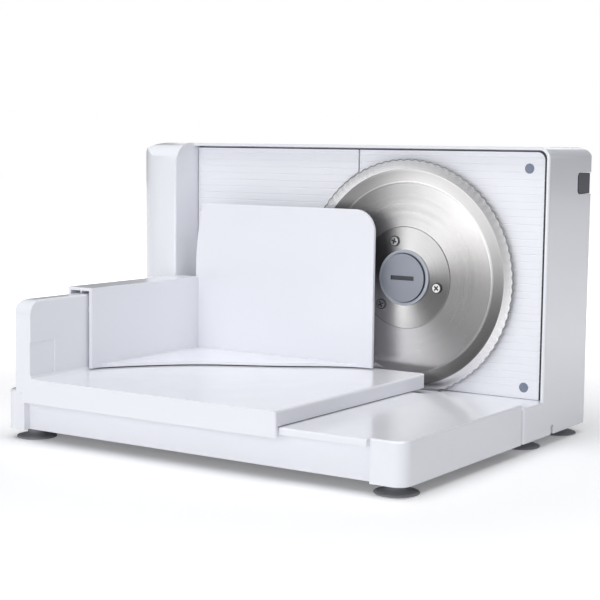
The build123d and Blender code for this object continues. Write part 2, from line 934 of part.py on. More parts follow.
def screw_seats(cover, places):
    """A cover with a hole and a sunk seat for each screw."""
    for x, z in places:
        cover -= peg_y(x, z, screw_radius + screw_fit, cover_y - overrun, back_y + overrun)
        cover -= peg_y(x, z, screw_head_radius + cover_gap, cover_y + cover_sheet / 2, back_y + overrun)
    return cover


def make_rear_cover():
    """The vented plate at the back of the motor box."""
    cover = prism_y(rear_opening(cover_gap), cover_y, back_y)
    middle_x = (box_wall_x + inner_right_x) / 2
    for index in range(vent_count):
        z = vent_low_z + index * vent_pitch
        slot = Pos(middle_x, z) * Rectangle(vent_length, vent_width)
        cover -= prism_y(slot, cover_y - overrun, back_y + overrun)
    low = button_low_z
    cover -= block(cage_x, right_x, cover_y - overrun, back_y + overrun, low, low + button_rise)
    return screw_seats(cover, rear_screws)


def make_tower_cover():
    """The plate at the back of the tower, with the seats of the guide rods."""
    cover = prism_y(tower_opening(cover_gap), cover_y, back_y)
    for z in rod_places:
        cover += peg_y(rod_x_place, z, rod_radius + rod_sleeve_wall, cover_y - rod_seat, cover_y)
        cover -= peg_y(rod_x_place, z, rod_radius, cover_y - rod_seat - overrun, cover_y, bush_sides)
    return screw_seats(cover, tower_screws)


def cup_face(grow):
    """The round room behind the blade, with its lobe for the drive pinion."""
    cup = Pos(blade_x, blade_z) * RegularPolygon(cup_radius + grow, cup_sides)
    lobe = Pos(lay_x, blade_z) * RegularPolygon(lobe_radius + grow, bush_sides)
    return cup + lobe


def make_blade_panel():
    """The fixed grooved panel round the blade, with a cup behind the blade for its gear."""
    outline = corner_face([
        (box_left_x, sill_z + running_gap, 0),
        (inner_right_x - panel_gap, sill_z + running_gap, 0),
        (inner_right_x - panel_gap, roof_z - panel_gap, inner_corner),
        (box_left_x, roof_z - panel_gap, 0),
    ])
    panel = grooved_sheet(outline, panel_y, panel_back_y, sill_z, roof_z)
    panel += prism_y(cup_face(cup_floor), panel_y + groove_depth * 2, cup_floor_y + cup_floor)
    panel -= prism_y(cup_face(0), panel_y - overrun, cup_floor_y)
    panel -= peg_y(blade_x, blade_z, bush_radius + running_gap * 2, panel_y, gear_plate_y, bush_sides)
    panel -= peg_y(lay_x, blade_z, lay_bush_radius + running_gap * 2, panel_y, gear_plate_y, bush_sides)
    for x, z in post_places:
        panel += peg_y(x, z, boss_radius, panel_back_y - panel_sheet / 2, gear_plate_y)
        panel -= peg_y(x, z, screw_radius + screw_fit, panel_back_y, gear_plate_y + overrun)
    for x, z in plug_places:
        panel -= peg_y(x, z, plug_radius, panel_y - overrun, panel_y + plug_depth, bush_sides)
        panel -= peg_y(x, z, screw_radius + screw_fit, panel_y, panel_back_y + overrun)
    return panel


def make_panel_plugs():
    """The two grey caps that hide the panel screws."""
    return [peg_y(x, z, plug_radius, panel_y - plug_proud, panel_y + plug_sheet, bush_sides) for x, z in plug_places]


def make_panel_screws():
    """The two screws that hold the panel to the housing."""
    screws = []
    for x, z in plug_places:
        seat = panel_y + plug_depth
        head = peg_y(x, z, screw_head_radius, panel_y + plug_sheet, seat)
        screws.append(head + peg_y(x, z, screw_radius, seat, seat + screw_hold))
    return screws


def bottom_face(inset):
    """The closed underside of the housing."""
    return housing_plan(inset) + sill_face(inset)


def foot_hole(x, y):
    """The hole that the stem of a foot snaps into."""
    radius = foot_stem_radius + screw_fit
    return turned_z(x, y, [
        (0, foot_rise - overrun),
        (radius, foot_rise - overrun),
        (radius, floor_z + overrun),
        (0, floor_z + overrun),
    ], foot_sides)


def make_bottom_plate():
    """The plate under the housing, with the open pocket where the cord is put away."""
    inset = housing_wall + cover_gap
    plate = prism_z(bottom_face(inset), foot_rise, floor_z)
    wall = pocket_wall
    plate += block(
        pocket_left_x - wall, pocket_right_x + wall, channel_y - wall, pocket_back_y + wall, foot_rise, pocket_z + wall
    )
    plate += block(
        pocket_right_x, inner_right_x - cover_gap, channel_y - wall, channel_y + notch_width + wall,
        foot_rise, foot_rise + notch_rise + wall,
    )
    plate -= block(pocket_left_x, pocket_right_x, channel_y, pocket_back_y, foot_rise - overrun, pocket_z)
    plate -= block(
        pocket_right_x - overrun, right_x, channel_y, channel_y + notch_width,
        foot_rise - overrun, foot_rise + notch_rise,
    )
    plate -= peg_z(gland_x, gland_y, gland_radius, pocket_z - overrun, pocket_z + wall + overrun)
    for x, y in housing_feet:
        plate -= foot_hole(x, y)
    for x, y in bottom_screws:
        plate -= peg_z(x, y, screw_radius + screw_fit, foot_rise - overrun, floor_z + overrun)
        plate -= peg_z(x, y, screw_head_radius + cover_gap, foot_rise - overrun, foot_rise + screw_seat)
    return plate


def make_cord_gland():
    """The rubber ring where the mains cord leaves its pocket for the motor box."""
    flange = gland_radius + pocket_wall
    high = pocket_z + pocket_wall
    gland = peg_z(gland_x, gland_y, flange, pocket_z - gland_flange, pocket_z)
    gland += peg_z(gland_x, gland_y, gland_radius, pocket_z, high)
    gland += peg_z(gland_x, gland_y, flange, high, high + gland_flange)
    return gland - peg_z(gland_x, gland_y, gland_bore, pocket_z - overrun, high + overrun)


def make_foot(x, y):
    """A rubber suction foot, hollow beneath, with a stem that snaps into its hole."""
    neck_z = foot_rise * neck_share
    head_z = floor_z + foot_head_rise
    return turned_z(x, y, [
        (0, suction_hollow),
        (suction_radius - suction_lip * 2, 0),
        (suction_radius, 0),
        (suction_radius, suction_lip),
        (suction_neck_radius, neck_z),
        (suction_neck_radius, foot_rise),
        (foot_stem_radius, foot_rise),
        (foot_stem_radius, floor_z),
        (foot_head_radius, floor_z),
        (foot_stem_radius, head_z),
        (0, head_z),
    ], foot_sides)


def make_base_tray():
    """The low tray in front, hollow beneath, whose front lip guides the carriage."""
    outline = corner_face([
        (tray_left_x, tray_front_y, tray_corner_radius),
        (right_x, tray_front_y, tray_corner_radius),
        (right_x, tray_back_y, tray_back_radius),
        (tray_left_x, tray_back_y, tray_back_radius),
    ])
    tray = prism_z(outline, foot_rise, tray_z)
    tray = chamfer(tray.edges().group_by(Axis.Z)[-1], edge_radius * edge_softness)
    low_z = foot_rise - overrun
    tray -= block(lip_left_x, lip_right_x, tray_front_y - overrun, recess_y, low_z, tray_z + overrun)
    lip = block(lip_left_x, lip_right_x, lip_front_y, recess_y + tray_wall, tray_z - lip_rise, tray_z)
    front_top = lip.edges().filter_by(Axis.X).group_by(Axis.Z)[-1].group_by(Axis.Y)[0]
    tray += fillet(front_top, edge_radius)
    room = corner_face([
        (tray_left_x + tray_wall, tray_front_y + tray_wall, tray_corner_radius - tray_wall),
        (right_x - tray_wall, tray_front_y + tray_wall, tray_corner_radius - tray_wall),
        (right_x - tray_wall, tray_back_y - tray_wall, 0),
        (tray_left_x + tray_wall, tray_back_y - tray_wall, 0),
    ])
    room_z = tray_z - tray_wall
    hollow = prism_z(room, low_z, room_z)
    hollow -= block(
        lip_left_x - tray_wall, lip_right_x + tray_wall, tray_front_y, recess_y + tray_wall, low_z, room_z + overrun
    )
    rib_low_z = foot_rise + rib_setback
    for index in range(1, rib_count + 1):
        x = tray_left_x + index * tray_width / (rib_count + 1)
        hollow -= block(x - rib_sheet / 2, x + rib_sheet / 2, tray_front_y, tray_back_y, rib_low_z, room_z + overrun)
    middle_y = (recess_y + tray_back_y) / 2
    hollow -= block(tray_left_x, right_x, middle_y - rib_sheet / 2, middle_y + rib_sheet / 2, rib_low_z, room_z + overrun)
    for x, y in tray_feet:
        hollow -= peg_z(x, y, foot_boss_radius, foot_rise, room_z + overrun)
    tray -= hollow
    for x, y in tray_feet:
        tray -= peg_z(x, y, foot_boss_radius - tray_wall, floor_z, room_z)
        tray -= foot_hole(x, y)
    for x in tongue_places:
        tongue = block(
            x - tongue_width / 2, x + tongue_width / 2, tray_back_y - tray_wall, tongue_back_y,
            tongue_z, tongue_z + tongue_sheet,
        )
        tray += tongue - peg_z(x, tongue_screw_y, screw_radius + screw_fit, foot_rise, tray_z)
    return tray


def make_stop_plate():
    """The grooved plate left of the blade, which sets how thick a slice is."""
    def outline(inset):
        corner = edge_radius if inset == 0 else 0
        face = corner_face([
            (plate_left_x + inset, plate_low_z + inset, corner),
            (plate_right_x - inset, plate_low_z + inset, 0),
            (plate_right_x - inset, plate_high_z - inset, 0),
            (plate_left_x + inset, plate_high_z - inset, corner),
        ])
        return face - Pos(blade_x, blade_z) * RegularPolygon(blade_radius + blade_ring_gap + inset, plate_arc_sides)

    plate = grooved_sheet(outline(0), panel_y, panel_back_y, sill_z, roof_z)
    flange_back_y = panel_back_y + plate_flange_depth
    plate += prism_y(outline(0) - outline(plate_flange), panel_back_y - panel_sheet / 2, flange_back_y)
    for x, z in plate_screw_places:
        plate += peg_y(x, z, boss_radius, panel_back_y - panel_sheet / 2, slide_y)
        plate -= peg_y(x, z, screw_radius + screw_fit, slide_y - plate_screw_hold, slide_y + overrun)
    return plate


def make_plate_slide():
    """The carrier behind the thickness plate: two sleeves on the guide rods and a rack."""
    slide = block(
        rod_x_place - rod_radius - rod_sleeve_wall,
        tower_in_x + slide_tab,
        slide_y,
        slide_y + slide_sheet,
        rod_places[0] - slide_margin,
        rod_places[1] + slide_margin,
    )
    for z in rod_places:
        slide += peg_y(
            rod_x_place, z, rod_radius + rod_sleeve_wall, slide_y, slide_y + rod_sleeve_length
        )
    pitch_z = knob_z - knob_pinion_radius
    root_z = pitch_z - rack_module * dedendum_share
    tip_z = pitch_z + rack_module * addendum_share
    rack_y0 = slide_y + slide_sheet + rack_front_setback
    rack_y1 = rack_y0 + rack_length
    bar_x0 = rack_x - rack_width / 2
    bar_x1 = rack_x + rack_width / 2
    slide += block(bar_x0, bar_x1, slide_y, rack_y1, root_z - rack_back, root_z)
    step = math.pi * rack_module
    half = step / 4 - mesh_play / 4
    for index in range(-4, 4):
        y = knob_y + (index + 0.5) * step
        root_half = half + rack_module * dedendum_share * math.tan(pressure_angle)
        tip_half = half - rack_module * addendum_share * math.tan(pressure_angle)
        tooth = [(y - root_half, root_z), (y + root_half, root_z), (y + tip_half, tip_z), (y - tip_half, tip_z)]
        slide += prism_x(make_face(Polyline(tooth, close=True)), bar_x0, bar_x1)
    for z in rod_places:
        slide -= peg_y(
            rod_x_place, z, rod_radius + shaft_clearance,
            slide_y - overrun, slide_y + rod_sleeve_length + overrun, bush_sides,
        )
    for x, z in plate_screw_places:
        slide -= peg_y(x, z, screw_radius + screw_fit, slide_y - overrun, slide_y + slide_sheet + overrun)
    return slide


def make_plate_screws():
    """The screws that hold the thickness plate to its carrier."""
    back = slide_y + slide_sheet + screw_head_rise
    return [screw_y(x, z, back, slide_sheet + plate_screw_hold, 1) for x, z in plate_screw_places]


def make_guide_rods():
    """The two steel rods that the plate's carrier slides on."""
    return [peg_y(rod_x_place, z, rod_radius, rod_seat_y - rod_seat, cover_y, bush_sides) for z in rod_places]


def make_knob_pinion():
    """The pinion and shaft that the thickness knob turns."""
    right = tower_wall_x - bearing_length - knob_wall_gap
    left = rack_x - rack_width / 2
    shaft_end = tower_in_x - housing_wall / 2 - knob_shaft_gap
    shaft = peg_x(knob_y, knob_z, knob_shaft_radius, left_x - knob_reach + knob_shaft_gap * 2, left, bush_sides)
    shaft += rod_x(knob_y, knob_z, knob_shaft_radius, right, shaft_end)
    teeth = gear_face(rack_module, knob_teeth, -math.pi / 2, 0)
    shaft += Pos(0, knob_y, knob_z) * prism_x(teeth, left, right)
    collar = inner_left_x + bearing_length + knob_wall_gap
    return shaft + peg_x(knob_y, knob_z, knob_shaft_radius + lay_bush_wall, collar, collar + knob_collar)


def make_thickness_knob():
    """The round knob on the left side that sets the slice thickness."""
    rim = []
    for index in range(knob_grip_count * 4):
        angle = 2 * math.pi * (index + 0.5) / (knob_grip_count * 4)
        radius = knob_radius - (knob_grip_depth if index % 4 < 2 else 0)
        rim.append((radius * math.cos(angle), radius * math.sin(angle)))
    outer = left_x - knob_reach
    inner = left_x - knob_wall_gap
    middle = inner - knob_reach / 2
    knob = Pos(0, knob_y, knob_z) * prism_x(make_face(Polyline(rim, close=True)), outer, inner)
    knob -= peg_x(knob_y, knob_z, knob_radius - rod_sleeve_wall, middle, inner + overrun, bush_sides)
    knob += peg_x(knob_y, knob_z, knob_shaft_radius + rod_sleeve_wall, middle, inner)
    return knob - prism_x(Pos(knob_y, knob_z) * tight_bore(knob_shaft_radius), outer + knob_shaft_gap * 2, inner + overrun)


def carriage_shape(inset):
    """The carriage's outside, or the room inside walls of this thickness."""
    x0 = carriage_left_x + inset
    x1 = carriage_right_x - inset
    side = side_x - inset
    low_z = carriage_low_z - (overrun if inset else 0)
    section = corner_face([
        (x0, low_z, 0),
        (x1, low_z, 0),
        (x1, deck_z - inset, 0 if inset else edge_radius),
        (side, deck_z - inset, 0 if inset else inner_corner_radius),
        (side, side_z - inset, 0 if inset else edge_radius),
        (x0, side_z - inset, side_top_radius - inset),
    ])
    y0 = front_y + inset
    y1 = carriage_back_y - inset
    elevation = corner_face([
        (y0, low_z, 0),
        (y1, low_z, 0),
        (y1, side_z - inset, inner_corner_radius - inset),
        (y0, side_z - inset, side_nose_radius - inset),
    ])
    return prism_y(section, y0, y1) & prism_x(elevation, x0, x1)


def make_carriage():
    """The sliding food table with its upright side wall, a hollow shell."""
    body = carriage_shape(0)
    skirt_x = carriage_left_x + skirt_inset
    skirt_y = front_y + skirt_sheet
    body += block(skirt_x, carriage_right_x, front_y, skirt_y, skirt_z, deck_z - edge_radius)
    body -= carriage_shape(carriage_wall)
    plan = corner_face([
        (carriage_left_x, front_y, edge_radius),
        (carriage_right_x, front_y, edge_radius),
        (carriage_right_x, carriage_back_y, deck_corner_radius),
        (carriage_left_x, carriage_back_y, edge_radius),
    ])
    body &= prism_z(plan, skirt_z, side_z)
    hook_z = tray_z - lip_rise - hook_gap
    body += block(skirt_x, carriage_right_x - edge_radius, skirt_y - skirt_sheet / 2, hook_y, skirt_z, hook_z)
    rib_low_z = tray_z + running_gap
    rib_high_z = deck_z - carriage_wall / 2
    for share in rib_shares:
        y = front_y + share * (carriage_back_y - front_y)
        body += block(
            carriage_left_x + carriage_wall / 2,
            carriage_right_x - carriage_wall / 2,
            y - rib_sheet / 2,
            y + rib_sheet / 2,
            rib_low_z,
            rib_high_z,
        )
    notch_top_z = deck_z + side_mark_rise
    body -= block(
        side_x - side_mark_depth, side_x + overrun, front_y - overrun, front_y + side_mark_length,
        deck_z + inner_corner_radius, notch_top_z,
    )
    return body


def make_pusher():
    """The food holder: an upright plate, a side wing that hooks over the wall and a floor web."""
    lean_x = wing_out_x + pusher_edge_lean
    arc_x = wing_out_x + pusher_edge_lean * lean_share
    wing_top_z = side_z + hook_lift + hook_sheet
    edges = [
        Line((wing_out_x, pusher_low_z), (pusher_right_x, pusher_low_z)),
        Line((pusher_right_x, pusher_low_z), (pusher_right_x, pusher_z - pusher_corner_radius)),
    ]
    turn = pusher_corner_radius * math.sqrt(0.5)
    centre_x = pusher_right_x - pusher_corner_radius
    centre_z = pusher_z - pusher_corner_radius
    edges.append(ThreePointArc(
        (pusher_right_x, centre_z), (centre_x + turn, centre_z + turn), (centre_x, pusher_z)
    ))
    edges.append(Line((centre_x, pusher_z), (lean_x, pusher_z)))
    edges.append(ThreePointArc(
        (lean_x, pusher_z), (arc_x, (pusher_z + wing_top_z) / 2), (wing_out_x, wing_top_z)
    ))
    edges.append(Line((wing_out_x, wing_top_z), (wing_out_x, pusher_low_z)))
    body = prism_y(make_face(edges), pusher_y, pusher_y + pusher_sheet)
    body += block(wing_out_x, wing_x, wing_front_y, pusher_y + pusher_sheet / 2, pusher_low_z, wing_top_z)

    # The floor web, whose free edge is a long curve
    web_y = wing_front_y + pusher_sheet
    width = pusher_right_x - wing_out_x
    depth = pusher_y + pusher_sheet / 2 - web_y
    points = [(wing_out_x, web_y)]
    points += [(wing_out_x + u * width, web_y + v * depth) for u, v in web_shares]
    points.append((pusher_right_x, pusher_y + pusher_sheet / 2))
    web = make_face([
        Spline(*points),
        Line(points[-1], (wing_out_x, points[-1][1])),
        Line((wing_out_x, points[-1][1]), points[0]),
    ])
    body += prism_z(web, pusher_low_z, pusher_low_z + web_sheet)

    # The hook over the side wall, clear of the tower
    hook_x = carriage_left_x - hook_lip_gap - hook_lip_sheet
    hook_low_z = side_z + hook_lift
    hook_back_y = tower_front_y - hook_tower_gap
    body += block(hook_x, wing_x, wing_front_y, hook_back_y, hook_low_z, wing_top_z)
    body += block(carriage_left_x, wing_x, wing_front_y, pusher_y + pusher_sheet / 2, hook_low_z, wing_top_z)
    body += block(
        hook_x, hook_x + hook_lip_sheet, wing_front_y, hook_back_y, wing_top_z - hook_lip_drop, wing_top_z
    )
    pad_z = side_z + running_gap
    pad_front_y = wing_front_y + pad_width
    middle_x = (carriage_left_x + side_x) / 2
    body += block(
        middle_x - pad_width / 2, middle_x + pad_width / 2, pad_front_y, pusher_y, pad_z, hook_low_z + hook_sheet / 2
    )
    for share in pad_shares:
        z = pusher_low_z + share * (side_z - pusher_low_z)
        body += block(
            side_x + running_gap, wing_x - pusher_sheet / 2, pad_front_y, pusher_y, z - pad_width / 2, z + pad_width / 2
        )
    for index in range(grip_count):
        x = wing_x + (index + 0.5) * (pusher_right_x - wing_x) / grip_count
        body += block(
            x - grip_width / 2, x + grip_width / 2, pusher_y + pusher_sheet / 2, pusher_y + pusher_sheet + grip_reach,
            pusher_low_z + grip_low_inset, pusher_z - pusher_corner_radius,
        )
    return body


def make_blade():
    """The round steel blade with its scalloped edge."""
    ground_radius = blade_radius - ground_band
    step_radius = ground_radius - step_band
    bore = hub_radius + blade_bore_fit
    disc_y = blade_y - disc_forward
    dish_y = blade_y - dish_forward
    blade = turned_y(blade_x, blade_z, [
        (bore, disc_y),
        (disc_radius, disc_y),
        (disc_radius, dish_y),
        (step_radius, blade_y + step_back),
        (ground_radius, blade_y),
        (blade_radius * trim_share, blade_y),
        (blade_radius * trim_share, blade_y + edge_sheet),
        (blade_radius - scallop_depth * 2, blade_y + edge_sheet),
        (ground_radius, blade_y + blade_sheet),
        (step_radius, blade_y + step_back + blade_sheet),
        (disc_radius, dish_y + blade_sheet),
        (disc_radius - blade_sheet / 2, carrier_web_y),
        (bore, carrier_web_y),
    ], disc_sides)
    rim = []
    for index in range(scallop_count * 2):
        angle = math.pi * index / scallop_count
        radius = blade_radius - (scallop_depth if index % 2 else 0)
        rim.append((radius * math.cos(angle), radius * math.sin(angle)))
    rim_face = make_face(Polyline(rim, close=True))
    blade &= Pos(blade_x, 0, blade_z) * prism_y(rim_face, disc_y, blade_y + step_back + blade_sheet)
    for x, z in blade_screw_places:
        blade -= peg_y(x, z, blade_screw_radius + screw_fit, disc_y - overrun, blade_y + overrun)
    return blade


def make_blade_carrier():
    """The grey plastic carrier behind the blade: hub in front, gear teeth behind."""
    hub_y = blade_y - hub_reach
    seat_y = hub_y - lock_reach + lock_sheet + lock_fit
    web_back_y = carrier_web_y + carrier_web
    gear_back_y = carrier_gear_y + carrier_tooth_width
    rim_radius = carrier_radius - drive_module * dedendum_share - carrier_rim
    body = peg_y(blade_x, blade_z, hub_radius, hub_y, carrier_web_y, disc_sides)
    body -= peg_y(blade_x, blade_z, lock_radius + lock_fit, hub_y - overrun, seat_y, disc_sides)
    body += peg_y(blade_x, blade_z, carrier_flange_radius, carrier_web_y, web_back_y, cup_sides)
    teeth = gear_face(drive_module, carrier_teeth, 0, 0)
    ring = Pos(blade_x, 0, blade_z) * prism_y(teeth, carrier_gear_y, gear_back_y)
    body += ring - peg_y(blade_x, blade_z, rim_radius, carrier_gear_y - overrun, gear_back_y + overrun, motor_sides)
    body += peg_y(blade_x, blade_z, bush_radius + carrier_hub_wall, web_back_y, gear_back_y, bush_sides)
    body -= rod_y(blade_x, blade_z, lock_stem_radius, hub_y, bush_front_y)
    body -= peg_y(blade_x, blade_z, bush_radius, bush_front_y, gear_back_y + overrun, bush_sides)
    for x, z in blade_screw_places:
        body -= peg_y(x, z, blade_screw_radius, carrier_web_y - overrun, carrier_web_y + blade_screw_length)
    return body


def make_blade_bush():
    """The sleeve that the carrier turns on."""
    back_y = bush_front_y + bush_length
    bush = peg_y(blade_x, blade_z, bush_radius, bush_front_y, back_y, bush_sides)
    bore = spindle_radius + shaft_clearance
    return bush - bore_y(blade_x, blade_z, bore, bush_front_y - overrun, back_y + overrun)


def make_blade_screws():
    """The three screws that hold the blade to its carrier."""
    front = blade_y - disc_forward
    screws = []
    for x, z in blade_screw_places:
        head = peg_y(x, z, blade_screw_head, front - blade_screw_head_rise, front, bush_sides)
        screws.append(head + peg_y(x, z, blade_screw_radius, front, carrier_web_y + blade_screw_length))
    return screws


def make_hub_lock():
    """The turning disc in the middle of the blade, with a coin slot."""
    front = blade_y - hub_reach - lock_reach
    back = front + lock_sheet
    lock = peg_y(blade_x, blade_z, lock_radius, front, back, disc_sides)
    lock += peg_y(blade_x, blade_z, lock_stem_radius - shaft_clearance, front, back + stem_length, disc_sides)
    slot = Pos(blade_x, blade_z) * Rot(0, 0, lock_slot_angle) * Rectangle(lock_slot_length, lock_slot_width)
    return lock - prism_y(slot, front - overrun, front + lock_slot_depth)


def plate_blank(y0, y1):
    """A plate with rounded corners that spans the four posts."""
    margin = boss_radius + rib_sheet
    plate = block(post_left_x - margin, post_right_x + margin, y0, y1, post_low_z - margin, post_high_z + margin)
    for x, z in post_places:
        plate -= peg_y(x, z, screw_radius + screw_fit, y0 - overrun, y1 + overrun)
    return plate


def make_gear_plate():
    """The steel plate that carries the spindle and the front of the layshaft."""
    plate = plate_blank(gear_plate_y, gear_space_y)
    plate -= peg_y(blade_x, blade_z, spindle_radius, gear_plate_y - overrun, gear_space_y + overrun, bolt_sides)
    return plate - peg_y(lay_x, blade_z, lay_bush_radius, gear_plate_y - overrun, gear_space_y + overrun, bush_sides)


def make_motor_plate():
    """The rear gearbox plate, which the motor is screwed to."""
    plate = plate_blank(motor_plate_y, motor_face_y)
    plate -= peg_y(lay_x, blade_z, lay_bush_radius, motor_plate_y - overrun, motor_face_y + overrun, bush_sides)
    plate -= peg_y(motor_x, motor_z, motor_boss_radius, motor_plate_y - overrun, motor_face_y + overrun)
    for x, z in motor_screw_places:
        plate -= peg_y(x, z, screw_radius + screw_fit, motor_plate_y - overrun, motor_face_y + overrun)
    return plate


def make_gearbox_spacers():
    """The four tubes between the gearbox plates."""
    tubes = []
    for x, z in post_places:
        tube = peg_y(x, z, boss_radius, gear_space_y, motor_plate_y)
        tubes.append(tube - peg_y(x, z, screw_radius + screw_fit, gear_space_y, motor_plate_y))
    return tubes


def make_gearbox_screws():
    """The four long screws through both gearbox plates into the panel's posts."""
    length = motor_face_y - gear_plate_y + screw_hold
    return [screw_y(x, z, motor_face_y + screw_head_rise, length, 1) for x, z in post_places]


def make_spindle():
    """The fixed steel spindle that the blade turns on."""
    flange_y = cup_floor_y + cup_floor
    front_y = bush_front_y + shaft_clearance
    spindle = peg_y(blade_x, blade_z, spindle_radius, front_y, gear_space_y + spindle_tail, bolt_sides)
    return spindle + peg_y(blade_x, blade_z, spindle_radius + spindle_flange, flange_y, gear_plate_y, bush_sides)


def make_spindle_nut():
    """The hexagon nut behind the gearbox's front plate."""
    face = RegularPolygon(nut_radius, peg_sides) - RegularPolygon(spindle_radius, bolt_sides)
    return Pos(blade_x, 0, blade_z) * prism_y(face, gear_space_y, gear_space_y + nut_sheet)


def make_layshaft():
    """The steel shaft between the motor's gear and the blade's gear."""
    return rod_y(lay_x, blade_z, layshaft_radius, carrier_gear_y, motor_face_y + layshaft_tail)


def make_drive_pinion():
    """The small gear that drives the blade's carrier."""
    first = math.pi + math.pi / drive_teeth
    return gear_y(
        drive_module, drive_teeth, first, layshaft_radius, lay_x, blade_z,
        carrier_gear_y, carrier_gear_y + carrier_tooth_width,
    )


def make_lay_gear():
    """The large gear that the motor's pinion drives."""
    y = gear_space_y + lay_gear_setback
    return gear_y(motor_module, lay_teeth, motor_angle, layshaft_radius, lay_x, blade_z, y, y + lay_tooth_width)


def make_motor_pinion():
    """The small gear on the motor's shaft."""
    y = gear_space_y + lay_gear_setback
    first = motor_angle + math.pi + math.pi / motor_teeth
    return gear_y(
        motor_module, motor_teeth, first, motor_shaft_radius, motor_x, motor_z, y, y + lay_tooth_width
    )


def make_lay_bush(y0, y1):
    """A bronze bush for the layshaft."""
    bush = peg_y(lay_x, blade_z, lay_bush_radius, y0, y1, bush_sides)
    return bush - bore_y(lay_x, blade_z, layshaft_radius + shaft_clearance, y0 - overrun, y1 + overrun)


def make_motor_can():
    """The motor's steel can."""
    can = peg_y(motor_x, motor_z, can_radius, motor_face_y, can_back_y, motor_sides)
    inner_y = motor_face_y + can_front_wall
    can -= peg_y(motor_x, motor_z, can_radius - can_wall, inner_y, can_back_y + overrun, motor_sides)
    shaft_hole = motor_shaft_radius + shaft_clearance
    can -= bore_y(motor_x, motor_z, shaft_hole, motor_face_y - overrun, inner_y + overrun)
    for x, z in motor_screw_places:
        can -= peg_y(x, z, screw_radius, motor_face_y - overrun, inner_y + overrun)
    return can


def make_motor_end_cap():
    """The cap that closes the back of the motor."""
    cap = peg_y(motor_x, motor_z, can_radius, can_back_y, can_back_y + cap_sheet, motor_sides)
    shaft_hole = motor_shaft_radius + shaft_clearance
    return cap - bore_y(motor_x, motor_z, shaft_hole, can_back_y - overrun, can_back_y + cap_sheet + overrun)


def make_motor_magnets():
    """The two curved magnets inside the can."""
    outer = can_radius - can_wall
    y0 = motor_face_y + magnet_setback
    y1 = y0 + magnet_length
    ring = peg_y(motor_x, motor_z, outer, y0, y1, motor_sides)
    ring -= peg_y(
        motor_x, motor_z, outer - magnet_gap - magnet_sheet, y0 - overrun, y1 + overrun, motor_sides
    )
    ring -= block(
        motor_x - can_radius, motor_x + can_radius, y0 - overrun, y1 + overrun,
        motor_z - magnet_space, motor_z + magnet_space,
    )
    return list(ring.solids())


def make_motor_shaft():
    """The motor's shaft."""
    y0 = gear_space_y + lay_gear_setback
    return rod_y(motor_x, motor_z, motor_shaft_radius, y0, can_back_y + cap_sheet)


def make_motor_armature():
    """The slotted core and the commutator on the motor's shaft."""
    face = RegularPolygon(core_radius, core_slots * 4)
    for index in range(core_slots):
        turn = Rot(0, 0, index * 360 / core_slots)
        face -= turn * Pos(core_radius, 0) * Rectangle(core_slot_depth * 2, core_slot_width)
    y0 = motor_face_y + magnet_setback
    y1 = y0 + magnet_length
    body = Pos(motor_x, 0, motor_z) * prism_y(face, y0, y1)
    body += peg_y(motor_x, motor_z, commutator_radius, y1, y1 + commutator_length / 2)
    bore = prism_y(tight_bore(motor_shaft_radius), y0 - overrun, y1 + commutator_length)
    return body - Pos(motor_x, 0, motor_z) * bore


def make_motor_screws():
    """The two screws that hold the motor to its plate."""
    front = motor_plate_y - screw_head_rise
    length = motor_plate_sheet + motor_screw_hold - screw_head_rise
    return [screw_y(x, z, front, length, -1) for x, z in motor_screw_places]


def make_power_button():
    """The dark button at the back right edge, with its body in the cage."""
    low = button_low_z + button_gap
    high = button_low_z + button_rise - button_gap
    back = back_y - button_back_inset
    inner = inner_right_x - button_gap
    body = block(button_x, inner, button_body_y, back, low, high)
    pad_y = button_front_y + button_travel + button_gap
    pad = corner_face([
        (pad_y, low, button_corner_radius),
        (back, low, 0),
        (back, high, 0),
        (pad_y, high, button_corner_radius),
    ])
    body += prism_x(pad, inner - overrun, right_x - button_inset)
    tab_y = button_body_y + stop_tab_setback
    tab_x = button_x + stop_tab_setback + button_gap
    body += block(
        tab_x, tab_x + stop_tab * 2, tab_y, tab_y + stop_tab - running_gap, low - housing_wall, low + button_gap
    )
    middle_z = (low + high) / 2
    return body - peg_y(
        plunger_x, middle_z, plunger_radius, button_body_y - overrun, button_body_y + plunger_length / 2, bush_sides
    )


def make_switch_plunger():
    """The rod that the button pushes into the switch."""
    middle_z = button_low_z + button_rise / 2
    return peg_y(
        plunger_x, middle_z, plunger_radius, switch_y - plunger_length, button_body_y + plunger_length / 2,
        bush_sides,
    )


def make_switch_body():
    """The closed push switch at the end of the cage, with its own return spring inside."""
    low = button_low_z
    high = button_low_z + button_rise
    body = block(cage_x - cage_reach, inner_right_x, switch_y - switch_length, switch_y, low, high)
    middle_z = (low + high) / 2
    bore = plunger_radius + plunger_gap
    depth = plunger_length + button_travel + plunger_gap
    return body - peg_y(plunger_x, middle_z, bore, switch_y - depth, switch_y + overrun, bush_sides)


def make_bottom_screws():
    """The screws under the housing."""
    seat = foot_rise + screw_seat
    return [screw_z(x, y, seat, floor_z - seat + screw_hold) for x, y in bottom_screws]


def make_tray_screws():
    """The screws under the tray's tongues."""
    return [screw_z(x, tongue_screw_y, tongue_z, tongue_sheet + screw_hold) for x in tongue_places]


